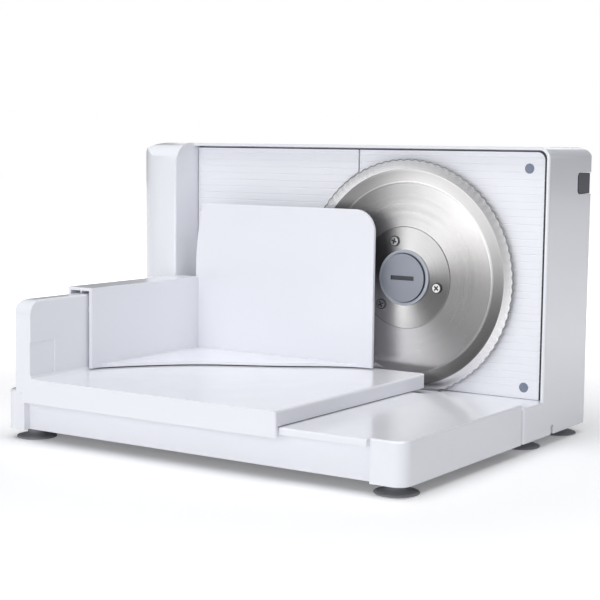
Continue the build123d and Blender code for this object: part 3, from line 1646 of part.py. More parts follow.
parts = {
    "main_housing": make_main_housing(),
    "blade_panel": make_blade_panel(),
    "panel_plugs": make_panel_plugs(),
    "panel_screws": make_panel_screws(),
    "stop_plate": make_stop_plate(),
    "plate_slide": make_plate_slide(),
    "plate_screws": make_plate_screws(),
    "guide_rods": make_guide_rods(),
    "knob_pinion": make_knob_pinion(),
    "thickness_knob": make_thickness_knob(),
    "tower_cover": make_tower_cover(),
    "rear_cover": make_rear_cover(),
    "cover_screws": make_cover_screws(),
    "bottom_plate": make_bottom_plate(),
    "bottom_screws": make_bottom_screws(),
    "cord_gland": make_cord_gland(),
    "base_tray": make_base_tray(),
    "tray_screws": make_tray_screws(),
    "foot_tray_left": make_foot(*tray_feet[0]),
    "foot_tray_right": make_foot(*tray_feet[1]),
    "foot_left_front": make_foot(*housing_feet[0]),
    "foot_left_back": make_foot(*housing_feet[1]),
    "foot_right_front": make_foot(*housing_feet[2]),
    "foot_right_back": make_foot(*housing_feet[3]),
    "carriage": make_carriage(),
    "food_pusher": make_pusher(),
    "blade": make_blade(),
    "blade_carrier": make_blade_carrier(),
    "blade_bush": make_blade_bush(),
    "blade_screws": make_blade_screws(),
    "hub_lock": make_hub_lock(),
    "gear_plate": make_gear_plate(),
    "motor_plate": make_motor_plate(),
    "gearbox_spacers": make_gearbox_spacers(),
    "gearbox_screws": make_gearbox_screws(),
    "spindle": make_spindle(),
    "spindle_nut": make_spindle_nut(),
    "layshaft": make_layshaft(),
    "drive_pinion": make_drive_pinion(),
    "lay_gear": make_lay_gear(),
    "lay_bush_front": make_lay_bush(cup_floor_y + cup_floor + running_gap, gear_space_y + lay_gear_setback / 2),
    "lay_bush_rear": make_lay_bush(motor_plate_y - lay_gear_setback / 2, motor_face_y),
    "motor_can": make_motor_can(),
    "motor_end_cap": make_motor_end_cap(),
    "motor_magnets": make_motor_magnets(),
    "motor_shaft": make_motor_shaft(),
    "motor_armature": make_motor_armature(),
    "motor_pinion": make_motor_pinion(),
    "motor_screws": make_motor_screws(),
    "power_button": make_power_button(),
    "switch_plunger": make_switch_plunger(),
    "switch_body": make_switch_body(),
}

os.makedirs("parts", exist_ok=True)
for name, shape in parts.items():
    if isinstance(shape, list):
        solids = shape
    else:
        solids = shape.solids()
    piece = solids[0] if len(solids) == 1 else Compound(children=list(solids))
    piece.label = name
    export_step(piece, f"parts/{name}.step")
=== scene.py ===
# %% [markdown]
# # An electric food slicer
# The machine is a white plastic housing with a round steel blade on its front. A thickness plate
# stands left of the blade, and a carriage slides in front of both. The solids come from a packed
# model in metres, so this lesson only gives them skins, finishes, light and a camera. That order
# is good practice: a piece that is in its right place needs no fitting afterwards.

# %% Load the machine
import json
import math

import bmesh
import bpy
from mathutils import Matrix, Vector


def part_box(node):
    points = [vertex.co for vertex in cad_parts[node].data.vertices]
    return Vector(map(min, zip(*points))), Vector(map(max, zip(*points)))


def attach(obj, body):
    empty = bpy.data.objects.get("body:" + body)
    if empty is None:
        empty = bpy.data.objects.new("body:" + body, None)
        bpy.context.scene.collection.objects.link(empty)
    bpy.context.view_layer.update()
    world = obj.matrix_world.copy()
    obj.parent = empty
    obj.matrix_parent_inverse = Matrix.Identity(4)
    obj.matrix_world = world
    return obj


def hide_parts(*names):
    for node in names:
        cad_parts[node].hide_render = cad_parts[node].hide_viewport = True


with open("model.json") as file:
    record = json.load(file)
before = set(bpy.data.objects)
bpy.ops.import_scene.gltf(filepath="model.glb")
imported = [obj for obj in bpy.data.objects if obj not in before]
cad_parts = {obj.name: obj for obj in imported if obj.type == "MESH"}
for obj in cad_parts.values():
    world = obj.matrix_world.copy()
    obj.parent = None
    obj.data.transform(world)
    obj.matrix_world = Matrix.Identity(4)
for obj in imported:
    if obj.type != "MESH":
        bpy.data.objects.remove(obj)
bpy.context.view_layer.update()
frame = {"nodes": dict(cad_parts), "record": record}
record = frame["record"]
nodes = frame["nodes"]
body_of_node = {node: body for body, names in record["behaviour"]["bodies"].items() for node in names}

# %% [markdown]
# ## The camera
# The photograph was taken from the right of the blade, nearly level with the top of the housing.
# The camera's three directions were solved from the machine's straight edges, so they are given
# as directions in space. A matrix is better here than aiming at a point, because the horizon of
# the photograph leans a little.

# %% Camera
def add_object(title, data):
    thing = bpy.data.objects.new(title, data)
    bpy.context.scene.collection.objects.link(thing)
    return thing


camera_data = bpy.data.cameras.new("studio_camera")
camera_data.lens = 89.76
camera_data.sensor_width = 36.0
camera = add_object("studio_camera", camera_data)
camera_place = (0.6645, -0.9726, 0.2283)
to_right = Vector((0.8342, 0.5513, 0.0121)).normalized()
forward = Vector((-0.5474, 0.8305, -0.1031)).normalized()
to_up = to_right.cross(forward).normalized()
to_right = forward.cross(to_up).normalized()
turn = Matrix((to_right, to_up, -forward)).transposed().to_4x4()
camera.matrix_world = Matrix.Translation(camera_place) @ turn
bpy.context.scene.camera = camera
bpy.context.scene.view_settings.view_transform = "Standard"
print("camera at", camera_place)

# %% [markdown]
# ## Helpers for shader nodes
# A material is a small graph. A few helpers keep the cells short: one fills a socket, by a link or
# by a value, and the others make a node, fill it and hand back its result. They work in a material
# and in a node group alike. Blender's colour mixer also holds the sockets of its other kinds, so
# its three colour sockets are found by their number.

# %% Node helpers
MIX_FIRST, MIX_SECOND, MIX_RESULT = 6, 7, 2


def fill(tree, socket, value):
    if isinstance(value, bpy.types.NodeSocket):
        tree.links.new(value, socket)
    else:
        socket.default_value = value


def put(tree, kind, feeds=None, **settings):
    node = tree.nodes.new(kind)
    for key, value in settings.items():
        setattr(node, key, value)
    for name, value in (feeds or {}).items():
        fill(tree, node.inputs[name], value)
    return node


def number(tree, operation, *feeds):
    return put(tree, "ShaderNodeMath", dict(enumerate(feeds)), operation=operation).outputs["Value"]


def vector(tree, operation, *feeds):
    node = put(tree, "ShaderNodeVectorMath", dict(enumerate(feeds)), operation=operation)
    return node.outputs["Value" if operation in ("LENGTH", "DOT_PRODUCT") else "Vector"]


def noise(tree, **feeds):
    return put(tree, "ShaderNodeTexNoise", feeds).outputs["Fac"]


def mixed(tree, factor, first, second):
    feeds = {"Factor": factor, MIX_FIRST: first, MIX_SECOND: second}
    return put(tree, "ShaderNodeMix", feeds, data_type="RGBA").outputs[MIX_RESULT]


def new_group(title, inputs, outputs):
    group = bpy.data.node_groups.new(title, "ShaderNodeTree")
    for name, kind, value in inputs:
        socket = group.interface.new_socket(name, in_out="INPUT", socket_type="NodeSocket" + kind)
        socket.default_value = value
    for name, kind in outputs:
        group.interface.new_socket(name, in_out="OUTPUT", socket_type="NodeSocket" + kind)
    return group, group.nodes.new("NodeGroupInput").outputs, group.nodes.new("NodeGroupOutput").inputs


def new_material(title):
    material = bpy.data.materials.new(title)
    material.use_nodes = True
    return material, material.node_tree, material.node_tree.nodes["Principled BSDF"].inputs


print("node helpers ready")

# %% [markdown]
# ## Moulded plastic
# Glossy moulded plastic isn't quite smooth. It has a faint ripple, its tint drifts a little over
# a wall, and handling dulls the gloss in soft patches. All the plastics share this, so it is one
# node group with named inputs, and each plastic gives it its own values.

# %% Group: moulded surface
moulded_surface, given, result = new_group(
    "moulded surface",
    [
        ("Tint", "Color", (0.9, 0.9, 0.9, 1.0)),
        ("Second Tint", "Color", (0.8, 0.8, 0.8, 1.0)),
        ("Gloss Low", "Float", 0.2),
        ("Gloss High", "Float", 0.3),
        ("Grain Size", "Float", 900.0),
        ("Ripple", "Float", 0.3),
    ],
    [("Color", "Color"), ("Roughness", "Float"), ("Height", "Float")],
)
tree = moulded_surface
where = put(tree, "ShaderNodeTexCoord").outputs["Object"]
drift = noise(tree, Vector=where, Scale=9.0, Detail=3.0, Roughness=0.5)
handling = noise(tree, Vector=where, Scale=34.0, Detail=4.0, Roughness=0.6)
grain = noise(tree, Vector=where, Scale=given["Grain Size"], Detail=2.0, Roughness=0.5)
ripple = noise(tree, Vector=where, Scale=42.0, Detail=1.0, Roughness=0.4)
gloss = put(
    tree, "ShaderNodeMapRange",
    {"Value": handling, "To Min": given["Gloss Low"], "To Max": given["Gloss High"]},
)
fill(tree, result["Color"], mixed(tree, drift, given["Tint"], given["Second Tint"]))
fill(tree, result["Roughness"], gloss.outputs["Result"])
fill(tree, result["Height"], number(tree, "MULTIPLY_ADD", ripple, given["Ripple"], grain))
print("group:", moulded_surface.name)

# %% [markdown]
# A plastic is then one short call: the group gives colour, roughness and height, and the shader
# itself holds what is the same all over, such as its index of refraction and its clear coat.

# %% Plastics
PLASTIC_RELIEF = 0.0004


def dress(tree, shader, group, values, bump, depth):
    """Feeds a surface group's colour, roughness and relief to a material's shader."""
    skin = put(tree, "ShaderNodeGroup", node_tree=group)
    for name, value in values.items():
        skin.inputs[name].default_value = value
    relief = put(
        tree, "ShaderNodeBump", {"Strength": bump, "Distance": depth, "Height": skin.outputs["Height"]}
    )
    fill(tree, shader["Base Color"], skin.outputs["Color"])
    fill(tree, shader["Roughness"], skin.outputs["Roughness"])
    fill(tree, shader["Normal"], relief.outputs["Normal"])


def plastic(title, tint, second, gloss, grain=900.0, ripple=0.3, bump=0.02, coat=0.0):
    material, tree, shader = new_material(title)
    values = {
        "Tint": (*tint, 1.0), "Second Tint": (*second, 1.0), "Gloss Low": gloss[0], "Gloss High": gloss[1],
        "Grain Size": grain, "Ripple": ripple,
    }
    dress(tree, shader, moulded_surface, values, bump, PLASTIC_RELIEF)
    shader["Coat Weight"].default_value = coat
    shader["Coat Roughness"].default_value = 0.08
    return material


white_plastic = plastic(
    "glossy white plastic", (0.87, 0.877, 0.925), (0.85, 0.858, 0.91), (0.16, 0.26), coat=0.3
)
panel_plastic_with_painted_gap = plastic(
    "satin white panel with painted gap shade", (0.92, 0.925, 0.97), (0.90, 0.907, 0.955), (0.3, 0.42), ripple=0.2
)
hub_plastic = plastic(
    "grey hub rim plastic", (0.47, 0.50, 0.56), (0.42, 0.45, 0.51), (0.3, 0.42), grain=1500.0, bump=0.04
)
lock_plastic = plastic(
    "grey hub lock plastic", (0.31, 0.33, 0.38), (0.28, 0.30, 0.35), (0.36, 0.5), grain=1500.0, bump=0.05
)
plug_plastic = plastic("grey-blue plug plastic", (0.22, 0.25, 0.33), (0.19, 0.22, 0.30), (0.4, 0.5))
switch_plastic = plastic("dark grey switch plastic", (0.075, 0.08, 0.095), (0.06, 0.065, 0.08), (0.35, 0.5))
knob_plastic = plastic("dark grey knob plastic", (0.07, 0.075, 0.09), (0.055, 0.06, 0.075), (0.38, 0.52))
foot_rubber = plastic(
    "grey suction rubber", (0.27, 0.275, 0.295), (0.22, 0.225, 0.24), (0.42, 0.6), grain=1800.0, bump=0.08
)
gear_plastic = plastic("natural gear plastic", (0.72, 0.71, 0.64), (0.68, 0.67, 0.60), (0.35, 0.5))
black_plastic = plastic("black switch plastic", (0.02, 0.02, 0.022), (0.015, 0.015, 0.018), (0.35, 0.5))
# The next two are painted shade: the fine ring round the hub lock and the inside of its coin slot.
seam_painted_shade = plastic("painted seam shade", (0.05, 0.053, 0.062), (0.04, 0.042, 0.05), (0.5, 0.6))
slot_painted_shade = plastic("slot plastic with painted shade", (0.085, 0.09, 0.105), (0.06, 0.064, 0.078), (0.45, 0.6), bump=0.1)
# Painted shade for the cross slots and the flanks of screw heads.
painted_recess_shade = plastic("painted recess shade", (0.05, 0.05, 0.052), (0.035, 0.035, 0.037), (0.5, 0.6))
magnet_black = plastic(
    "dark magnet", (0.03, 0.03, 0.033), (0.022, 0.022, 0.025), (0.5, 0.7), grain=2200.0, bump=0.1
)
print("plastics ready")

# %% [markdown]
# ## Painted shade in the gap round the panels
# The panel and the thickness plate lie in one recess, and the gap round them is deep and dark. That shade is
# painted onto the panels' own edges as a near-black strip. The gap's shape is a rounded rectangle, so the
# group measures how near a point is to that outline.

# %% Group: painted gap shade
painted_gap_group, given, result = new_group(
    "painted gap shade",
    [
        ("Centre", "Vector", (0.0, 0.0, 0.0)),
        ("Straight Half", "Vector", (0.1, 0.0, 0.1)),
        ("Start", "Float", 0.005),
        ("End", "Float", 0.006),
    ],
    [("Mask", "Float")],
)
tree = painted_gap_group
where = put(tree, "ShaderNodeTexCoord").outputs["Object"]
folded = vector(tree, "ABSOLUTE", vector(tree, "SUBTRACT", where, given["Centre"]))
beyond = vector(tree, "SUBTRACT", folded, given["Straight Half"])
clipped = vector(tree, "MAXIMUM", beyond)
flat = vector(tree, "MULTIPLY", clipped, (1.0, 0.0, 1.0))
rise = put(
    tree, "ShaderNodeMapRange",
    {"Value": vector(tree, "LENGTH", flat), "From Min": given["Start"], "From Max": given["End"]},
    interpolation_type="SMOOTHSTEP",
)
fill(tree, result["Mask"], rise.outputs["Result"])
print("group:", painted_gap_group.name)

# %% [markdown]
# The panel's colour then goes through this mask on its way to the shader, and the strip inside the outline is
# painted dark as the gap's shade. The outline is the recess of the housing, and the strip along it is 1 mm
# wide.

# %% Panel finish with painted gap shade
def paint_gap_shade(material, low, high, corner, width, softness):
    """Paints shade as a dark strip inside a rounded outline in X and Z, given in metres."""
    tree = material.node_tree
    base_colour = tree.nodes["Principled BSDF"].inputs["Base Color"]
    half_x, half_z = (high[0] - low[0]) / 2, (high[1] - low[1]) / 2
    mask = put(tree, "ShaderNodeGroup", node_tree=painted_gap_group)
    mask.inputs["Centre"].default_value = (low[0] + half_x, 0.0, low[1] + half_z)
    mask.inputs["Straight Half"].default_value = (half_x - corner, 0.0, half_z - corner)
    mask.inputs["Start"].default_value = corner - width - softness
    mask.inputs["End"].default_value = corner - width
    bare = base_colour.links[0].from_socket
    # painted shade: the near-black colour of the deep gap, painted on the panel's edge
    painted_gap_colour = (0.01, 0.01, 0.012, 1.0)
    fill(tree, base_colour, mixed(tree, mask.outputs["Mask"], bare, painted_gap_colour))


paint_gap_shade(panel_plastic_with_painted_gap, (-0.1500, 0.0100), (0.1944, 0.2262), corner=0.0075, width=0.0010, softness=0.0004)
print("panel finish ready")

# %% [markdown]
# ## Turned and brushed metal
# The blade is ground on a lathe, so its fine scratches run round its middle. The scratches are noise that
# depends on the distance from the axis alone. The spread is the shader's own anisotropy, with a tangent that
# runs round the axis. Studio lamps this wide leave the blade's bright sectors too pale, so they are painted
# instead: the tint falls off twice in a turn as a painted reflection. One input says how far the painted
# sheen falls, and the other says at which angle it stays light.

# %% Group: ring scratches and painted sheen
ring_scratches_and_painted_sheen, given, result = new_group(
    "ring scratches and painted sheen",
    [
        ("Centre", "Vector", (0.0, 0.0, 0.0)),
        ("Rings", "Float", 2600.0),
        ("Tint", "Color", (0.6, 0.6, 0.6, 1.0)),
        ("Dark Tint", "Color", (0.5, 0.5, 0.5, 1.0)),
        ("Painted Sheen", "Float", 0.0),
        ("Painted Sheen Angle", "Float", 0.0),
    ],
    [("Color", "Color"), ("Roughness", "Float"), ("Height", "Float")],
)
tree = ring_scratches_and_painted_sheen
where = put(tree, "ShaderNodeTexCoord").outputs["Object"]
offset = vector(tree, "SUBTRACT", where, given["Centre"])
distance = vector(tree, "LENGTH", vector(tree, "MULTIPLY", offset, (1.0, 0.0, 1.0)))
scratches = put(
    tree, "ShaderNodeTexNoise", {"W": distance, "Scale": given["Rings"], "Detail": 4.0, "Roughness": 0.7},
    noise_dimensions="1D",
).outputs["Fac"]
bands = put(
    tree, "ShaderNodeTexNoise", {"W": distance, "Scale": 260.0, "Detail": 2.0}, noise_dimensions="1D"
).outputs["Fac"]
patches = noise(tree, Vector=where, Scale=26.0, Detail=3.0)
split = put(tree, "ShaderNodeSeparateXYZ", {"Vector": offset}).outputs
bearing = number(tree, "ARCTAN2", split["Z"], split["X"])
twice = number(tree, "MULTIPLY", number(tree, "SUBTRACT", bearing, given["Painted Sheen Angle"]), 2.0)
# painted sheen: scales the tint down twice in a turn round the axis, painting the bright and dark sectors of
# a reflection
painted_sheen_gain = put(
    tree, "ShaderNodeMapRange",
    {
        "Value": number(tree, "COSINE", twice),
        "From Min": -1.0,
        "To Min": number(tree, "SUBTRACT", 1.0, given["Painted Sheen"]),
    },
    interpolation_type="SMOOTHSTEP",
)
shaded = put(
    tree, "ShaderNodeVectorMath",
    {0: mixed(tree, scratches, given["Dark Tint"], given["Tint"]), "Scale": painted_sheen_gain.outputs["Result"]},
    operation="SCALE",
)
rough = put(
    tree, "ShaderNodeMapRange",
    {"Value": number(tree, "ADD", bands, patches), "From Max": 2.0, "To Min": 0.17, "To Max": 0.33},
)
fill(tree, result["Color"], shaded.outputs["Vector"])
fill(tree, result["Roughness"], rough.outputs["Result"])
fill(tree, result["Height"], scratches)
print("group:", ring_scratches_and_painted_sheen.name)

# %% [markdown]
# Each ring of the blade has its own steel, with its own grey, spread and painted sheen; the crest's lighter
# grey is a painted highlight, and the darker greys of the step ring and the rim are painted shade.
# Screws, shafts and sheets share the same group. A node names the piece whose middle is the axis.

# %% Metals
METAL_RELIEF = 0.0002


def ring_metal(title, tint, dark, node, rings=2600.0, spread=0.0, bump=0.05, painted_sheen=0.0, bearing=0.0):
    """A metal with its scratches round a node's middle. Its tint can carry a painted sheen that falls off
    twice in a turn; bearing, in degrees, is where it stays light.
    """
    low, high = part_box(node)
    material, tree, shader = new_material(title)
    values = {
        "Centre": (low + high) / 2, "Rings": rings, "Tint": (*tint, 1.0), "Dark Tint": (*dark, 1.0),
        "Painted Sheen": painted_sheen, "Painted Sheen Angle": math.radians(bearing),
    }
    dress(tree, shader, ring_scratches_and_painted_sheen, values, bump, METAL_RELIEF)
    shader["Metallic"].default_value = 1.0
    shader["Anisotropic"].default_value = spread
    if spread:
        round_axis = put(tree, "ShaderNodeTangent", direction_type="RADIAL", axis="Y")
        fill(tree, shader["Tangent"], round_axis.outputs["Tangent"])
    return material


# The blade's steels below paint their sheen into the tint as a painted reflection.
blade_steel = ring_metal(
    "turned blade steel with painted sheen", (0.88, 0.86, 0.85), (0.75, 0.73, 0.72), "blade",
    spread=0.8, painted_sheen=0.76, bearing=66.0,
)
middle_steel_painted_sheen = ring_metal(
    "flat middle steel with painted sheen", (0.75, 0.74, 0.735), (0.61, 0.60, 0.595), "blade",
    spread=0.8, painted_sheen=0.8, bearing=58.0,
)
# painted highlight: a lighter grey for the bright crest of the deep ring
crest_steel_painted_highlight = ring_metal(
    "crest steel with painted highlight", (0.92, 0.91, 0.90), (0.83, 0.82, 0.81), "blade",
    spread=0.6, painted_sheen=0.68, bearing=54.0,
)
# painted shade: a darker grey for the deep ring's outer slope
step_steel_painted_shade = ring_metal(
    "step ring steel with painted shade", (0.72, 0.705, 0.70), (0.60, 0.59, 0.58), "blade",
    spread=0.8, painted_sheen=0.74, bearing=52.0,
)
edge_steel_painted_sheen = ring_metal(
    "ground edge steel with painted sheen", (0.87, 0.86, 0.87), (0.72, 0.715, 0.72), "blade",
    rings=5200.0, spread=0.4, painted_sheen=0.5, bearing=122.0,
)
# painted shade: a dark grey for the thin step by the middle and for the scalloped rim
rim_steel_painted_shade = ring_metal(
    "rim steel with painted shade", (0.42, 0.42, 0.43), (0.33, 0.33, 0.34), "blade", bump=0.02, painted_sheen=0.66, bearing=105.0
)
screw_steel = ring_metal("plated screw steel", (0.70, 0.70, 0.70), (0.60, 0.60, 0.60), "hub_lock", bump=0.02)
shaft_steel = ring_metal("ground shaft steel", (0.62, 0.62, 0.62), (0.54, 0.54, 0.54), "spindle", bump=0.02)
plate_steel = ring_metal("sheet steel", (0.55, 0.56, 0.57), (0.48, 0.49, 0.50), "gear_plate", rings=900.0)
motor_steel = ring_metal(
    "motor steel", (0.42, 0.43, 0.45), (0.36, 0.37, 0.39), "motor_can", rings=1200.0, spread=0.3
)
bush_bronze = ring_metal("bush bronze", (0.60, 0.42, 0.22), (0.50, 0.34, 0.17), "blade_bush")
print("metals ready")

# %% [markdown]
# ## Softened skins
# A solid from a construction program has knife-sharp edges, and no moulded piece does. The visible mouldings
# therefore get a skin: a copy of the solid whose flat faces are joined up first, so that a bevel can run
# cleanly along the real edges. A bevel is better than a rounding trick in the shader, because it is also
# there in the shape itself. Normals weighted by area then keep the big walls flat in the light, up to their
# rounded edges.

# %% Skin maker
SMOOTH_DEGREES = 31.0
BEVEL_DEGREES = 33.0
COPLANAR_DEGREES = 0.4
SKIN_WELD = 0.000004


def work_on(piece):
    """Makes a piece the one that the operators change."""
    bpy.ops.object.select_all(action="DESELECT")
    piece.select_set(True)
    bpy.context.view_layer.objects.active = piece


def smooth(piece, degrees=SMOOTH_DEGREES):
    work_on(piece)
    bpy.ops.object.shade_smooth_by_angle(angle=math.radians(degrees))


def take_place(piece, node):
    """Puts a piece in the place of a node, on the node's own body."""
    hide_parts(node)
    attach(piece, body_of_node[node])


def skin(node, title, material, width):
    mesh = nodes[node].data.copy()
    mesh.name = title
    piece = add_object(title, mesh)
    work = bmesh.new()
    work.from_mesh(mesh)
    bmesh.ops.remove_doubles(work, verts=work.verts, dist=SKIN_WELD)
    bmesh.ops.dissolve_limit(
        work, angle_limit=math.radians(COPLANAR_DEGREES), verts=work.verts, edges=work.edges,
        use_dissolve_boundaries=False,
    )
    work.to_mesh(mesh)
    work.free()
    mesh.materials.clear()
    mesh.materials.append(material)
    bevel = piece.modifiers.new("edge", "BEVEL")
    bevel.width = width
    bevel.segments = 2
    bevel.limit_method = "ANGLE"
    bevel.angle_limit = math.radians(BEVEL_DEGREES)
    bevel.use_clamp_overlap = True
    work_on(piece)
    bpy.ops.object.modifier_apply(modifier=bevel.name)
    smooth(piece)
    weighted = piece.modifiers.new("flat walls", "WEIGHTED_NORMAL")
    weighted.mode = "FACE_AREA"
    weighted.weight = 100
    weighted.keep_sharp = True
    bpy.ops.object.modifier_apply(modifier=weighted.name)
    take_place(piece, node)
    return piece


print("bevels run where faces meet at more than", BEVEL_DEGREES, "degrees")

# %% [markdown]
# ## Turned pieces
# Feet, caps, screws and the blade are turned shapes. A short profile in radius and height, swept
# round its axis in many steps, is better for them than a bevelled solid, because the rim stays
# round from close by. The profile is in millimetres, like a drawing, and is scaled once.

# %% Lathe
MM = 0.001
WELD = 0.000002
AXES = {
    "X": Matrix(((0, 0, 1), (1, 0, 0), (0, 1, 0))),
    "Y": Matrix(((0, 1, 0), (0, 0, 1), (1, 0, 0))),
    "Z": Matrix.Identity(3),
}


def turned_mesh(title, profile, centre, axis="Z", steps=96, rim=None):
    """A closed (radius, height) profile swept round an axis through centre."""
    vertices = []
    for step in range(steps):
        angle = 2 * math.pi * step / steps
        for radius, height in profile:
            reach = radius if rim is None else rim(radius, angle)
            local = Vector((reach * math.cos(angle), reach * math.sin(angle), height)) * MM
            vertices.append(tuple(Vector(centre) + AXES[axis] @ local))
    count = len(profile)
    faces = []
    for step in range(steps):
        after = (step + 1) % steps
        for index in range(count):
            following = (index + 1) % count
            if profile[index][0] == 0 and profile[following][0] == 0:
                continue
            faces.append((
                step * count + index, after * count + index,
                after * count + following, step * count + following,
            ))
    mesh = bpy.data.meshes.new(title)
    mesh.from_pydata(vertices, [], faces)
    work = bmesh.new()
    work.from_mesh(mesh)
    bmesh.ops.remove_doubles(work, verts=work.verts, dist=WELD)
    bmesh.ops.recalc_face_normals(work, faces=work.faces)
    work.to_mesh(mesh)
    work.free()
    return mesh


def show(title, mesh, material, node, degrees=SMOOTH_DEGREES):
    """Puts a mesh into the scene in place of a node."""
    piece = add_object(title, mesh)
    if material:
        mesh.materials.append(material)
    smooth(piece, degrees)
    take_place(piece, node)
    return piece


def islands(node):
    """The box of each separate solid in a node, in the order of the mesh."""
    work = bmesh.new()
    work.from_mesh(nodes[node].data)
    bmesh.ops.remove_doubles(work, verts=work.verts, dist=WELD)
    boxes = []
    seen = set()
    for first in work.verts:
        if first in seen:
            continue
        joined_to_first = [first]
        seen.add(first)
        for vertex in joined_to_first:
            for edge in vertex.link_edges:
                other = edge.other_vert(vertex)
                if other not in seen:
                    seen.add(other)
                    joined_to_first.append(other)
        places = [nodes[node].matrix_world @ vertex.co for vertex in joined_to_first]
        low = Vector([min(place[axis] for place in places) for axis in range(3)])
        high = Vector([max(place[axis] for place in places) for axis in range(3)])
        boxes.append((low, high))
    work.free()
    return boxes


def turned_set(title, node, profile, material, axis="Z", steps=64, rim=None):
    """One profile turned at each solid of a node. Its heights are given from the world's origin."""
    work = bmesh.new()
    for low, high in islands(node):
        centre = (low + high) / 2
        centre["XYZ".index(axis)] = 0.0
        work.from_mesh(turned_mesh(title, profile, centre, axis, steps, rim))
    mesh = bpy.data.meshes.new(title)
    work.to_mesh(mesh)
    work.free()
    return show(title, mesh, material, node)


print("lathe ready, axes:", list(AXES))

# %% [markdown]
# ## Finishes for the solids that stay
# Gears, shafts, plates and screws are right as they are. They keep their solids, and each gets
# the finish of its kind.

# %% Finishes
finish_of_slot = {
    "white": white_plastic,
    "grey_blue": hub_plastic,
    "dark_grey": knob_plastic,
    "suction_rubber": foot_rubber,
    "blade_steel": blade_steel,
    "screw_steel": screw_steel,
    "shaft_steel": shaft_steel,
    "plate_steel": plate_steel,
    "gear_plastic": gear_plastic,
    "bush_bronze": bush_bronze,
    "motor_steel": motor_steel,
    "magnet": magnet_black,
    "switch_black": black_plastic,
}
slot_of_node = {entry["node"]: entry["material_slot"] for entry in record["subparts"]}
finish_of_node = {node: finish_of_slot[slot] for node, slot in slot_of_node.items()}
finish_of_node["blade_panel"] = panel_plastic_with_painted_gap
finish_of_node["stop_plate"] = panel_plastic_with_painted_gap
finish_of_node["panel_plugs"] = plug_plastic
finish_of_node["power_button"] = switch_plastic
for node, piece in nodes.items():
    piece.data.materials.clear()
    piece.data.materials.append(finish_of_node[node])
print("finishes:", len({material.name for material in finish_of_node.values()}))

# %% [markdown]
# The mouldings get their skins now. The housing's edges are a little rounder than those of the thin
# covers, whose bevel has to stay inside the wall.

# %% Softened mouldings
bevel_of_moulding = {
    "main_housing": ("housing_shell", 0.0007),
    "base_tray": ("tray_shell", 0.0006),
    "carriage": ("carriage_shell", 0.0006),
    "food_pusher": ("pusher_shell", 0.0005),
    "power_button": ("button_pad", 0.0005),
    "rear_cover": ("rear_cover_skin", 0.0003),
    "tower_cover": ("tower_cover_skin", 0.0003),
}
for node, (title, width) in bevel_of_moulding.items():
    piece = skin(node, title, finish_of_node[node], width)
    print(title, len(piece.data.polygons), "faces")

# %% [markdown]
# ## Suction feet
# Each foot is a soft cup with a rounded lip, a shallow concave cone and a short neck. All six
# share one profile.

# %% Feet
foot_profile = [
    (0.0, 1.9), (6.0, 1.7), (12.0, 0.7), (13.6, 0.0), (15.0, 0.0), (15.45, 0.35), (15.5, 0.9), (15.1, 1.35),
    (13.4, 1.9), (11.0, 2.35), (9.0, 2.9), (7.6, 3.6), (7.0, 4.4), (6.95, 7.3), (7.0, 8.0), (3.9, 8.0),
    (3.9, 10.5), (5.3, 10.5), (5.0, 11.4), (3.9, 12.4), (0.0, 12.5),
]
feet = [node for node in nodes if node.startswith("foot_")]
for node in feet:
    low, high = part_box(node)
    centre = (low + high) / 2
    centre.z = 0.0
    title = node + "_cup"
    show(title, turned_mesh(title, foot_profile, centre, "Z", 64), foot_rubber, node)
print("feet:", len(feet))

# %% [markdown]
# ## Blade
# The blade is one pressing: a flat middle, a ring step, a long shallow cone, a deep ring and a thin ground
# edge with 85 scallops. Each ring of it has its own steel, and a face finds its ring by its distance from the
# axis. The crest of the deep ring gets a lighter grey as a painted highlight. The deep ring's outer slope,
# the thin step and the rim get darker greys as painted shade, and the step and the rim are where the blade
# turns away from the light.

# %% Blade
blade_centre = Vector((0.077, 0.0, 0.1235))
blade_front = 72.0
scallops = 85
scallop_start = 94.0
scallop_depth = 0.8
blade_profile = [
    (22.5, blade_front - 1.8), (40.6, blade_front - 1.8), (41.0, blade_front - 1.7),
    (41.2, blade_front - 1.2), (60.0, blade_front + 0.2), (75.2, blade_front + 1.3),
    (76.2, blade_front + 1.4), (77.2, blade_front + 1.33), (85.2, blade_front + 0.2),
    (86.0, blade_front + 0.02), (86.8, blade_front), (94.1, blade_front), (95.0, blade_front + 0.1),
    (95.0, blade_front + 0.3), (93.0, blade_front + 0.3), (86.0, blade_front + 1.2),
    (76.0, blade_front + 2.6), (41.0, blade_front), (22.5, blade_front - 0.6),
]
blade_steels_and_painted_light = [blade_steel, edge_steel_painted_sheen, rim_steel_painted_shade, middle_steel_painted_sheen, step_steel_painted_shade, crest_steel_painted_highlight]
ring_steel_by_radius = [
    (40.6, middle_steel_painted_sheen), (41.2, rim_steel_painted_shade), (75.2, blade_steel), (77.2, crest_steel_painted_highlight), (86.4, step_steel_painted_shade),
    (93.5, edge_steel_painted_sheen), (math.inf, rim_steel_painted_shade),
]


def scalloped(radius, angle):
    if radius < scallop_start:
        return radius
    wave = 0.5 - 0.5 * math.cos(angle * scallops)
    return radius - scallop_depth * wave**1.5


def from_blade_axis(face):
    """A face's distance from the blade's axis in millimetres."""
    return Vector((face.center.x - blade_centre.x, face.center.z - blade_centre.z)).length / MM


blade_mesh = turned_mesh("blade_disc", blade_profile, blade_centre, "Y", scallops * 6, scalloped)
for finish in blade_steels_and_painted_light:
    blade_mesh.materials.append(finish)
for face in blade_mesh.polygons:
    away = from_blade_axis(face)
    finish = next(finish for radius, finish in ring_steel_by_radius if away < radius)
    face.material_index = blade_steels_and_painted_light.index(finish)
show("blade_disc", blade_mesh, None, "blade", 12.0)
print("blade faces:", len(blade_mesh.polygons))

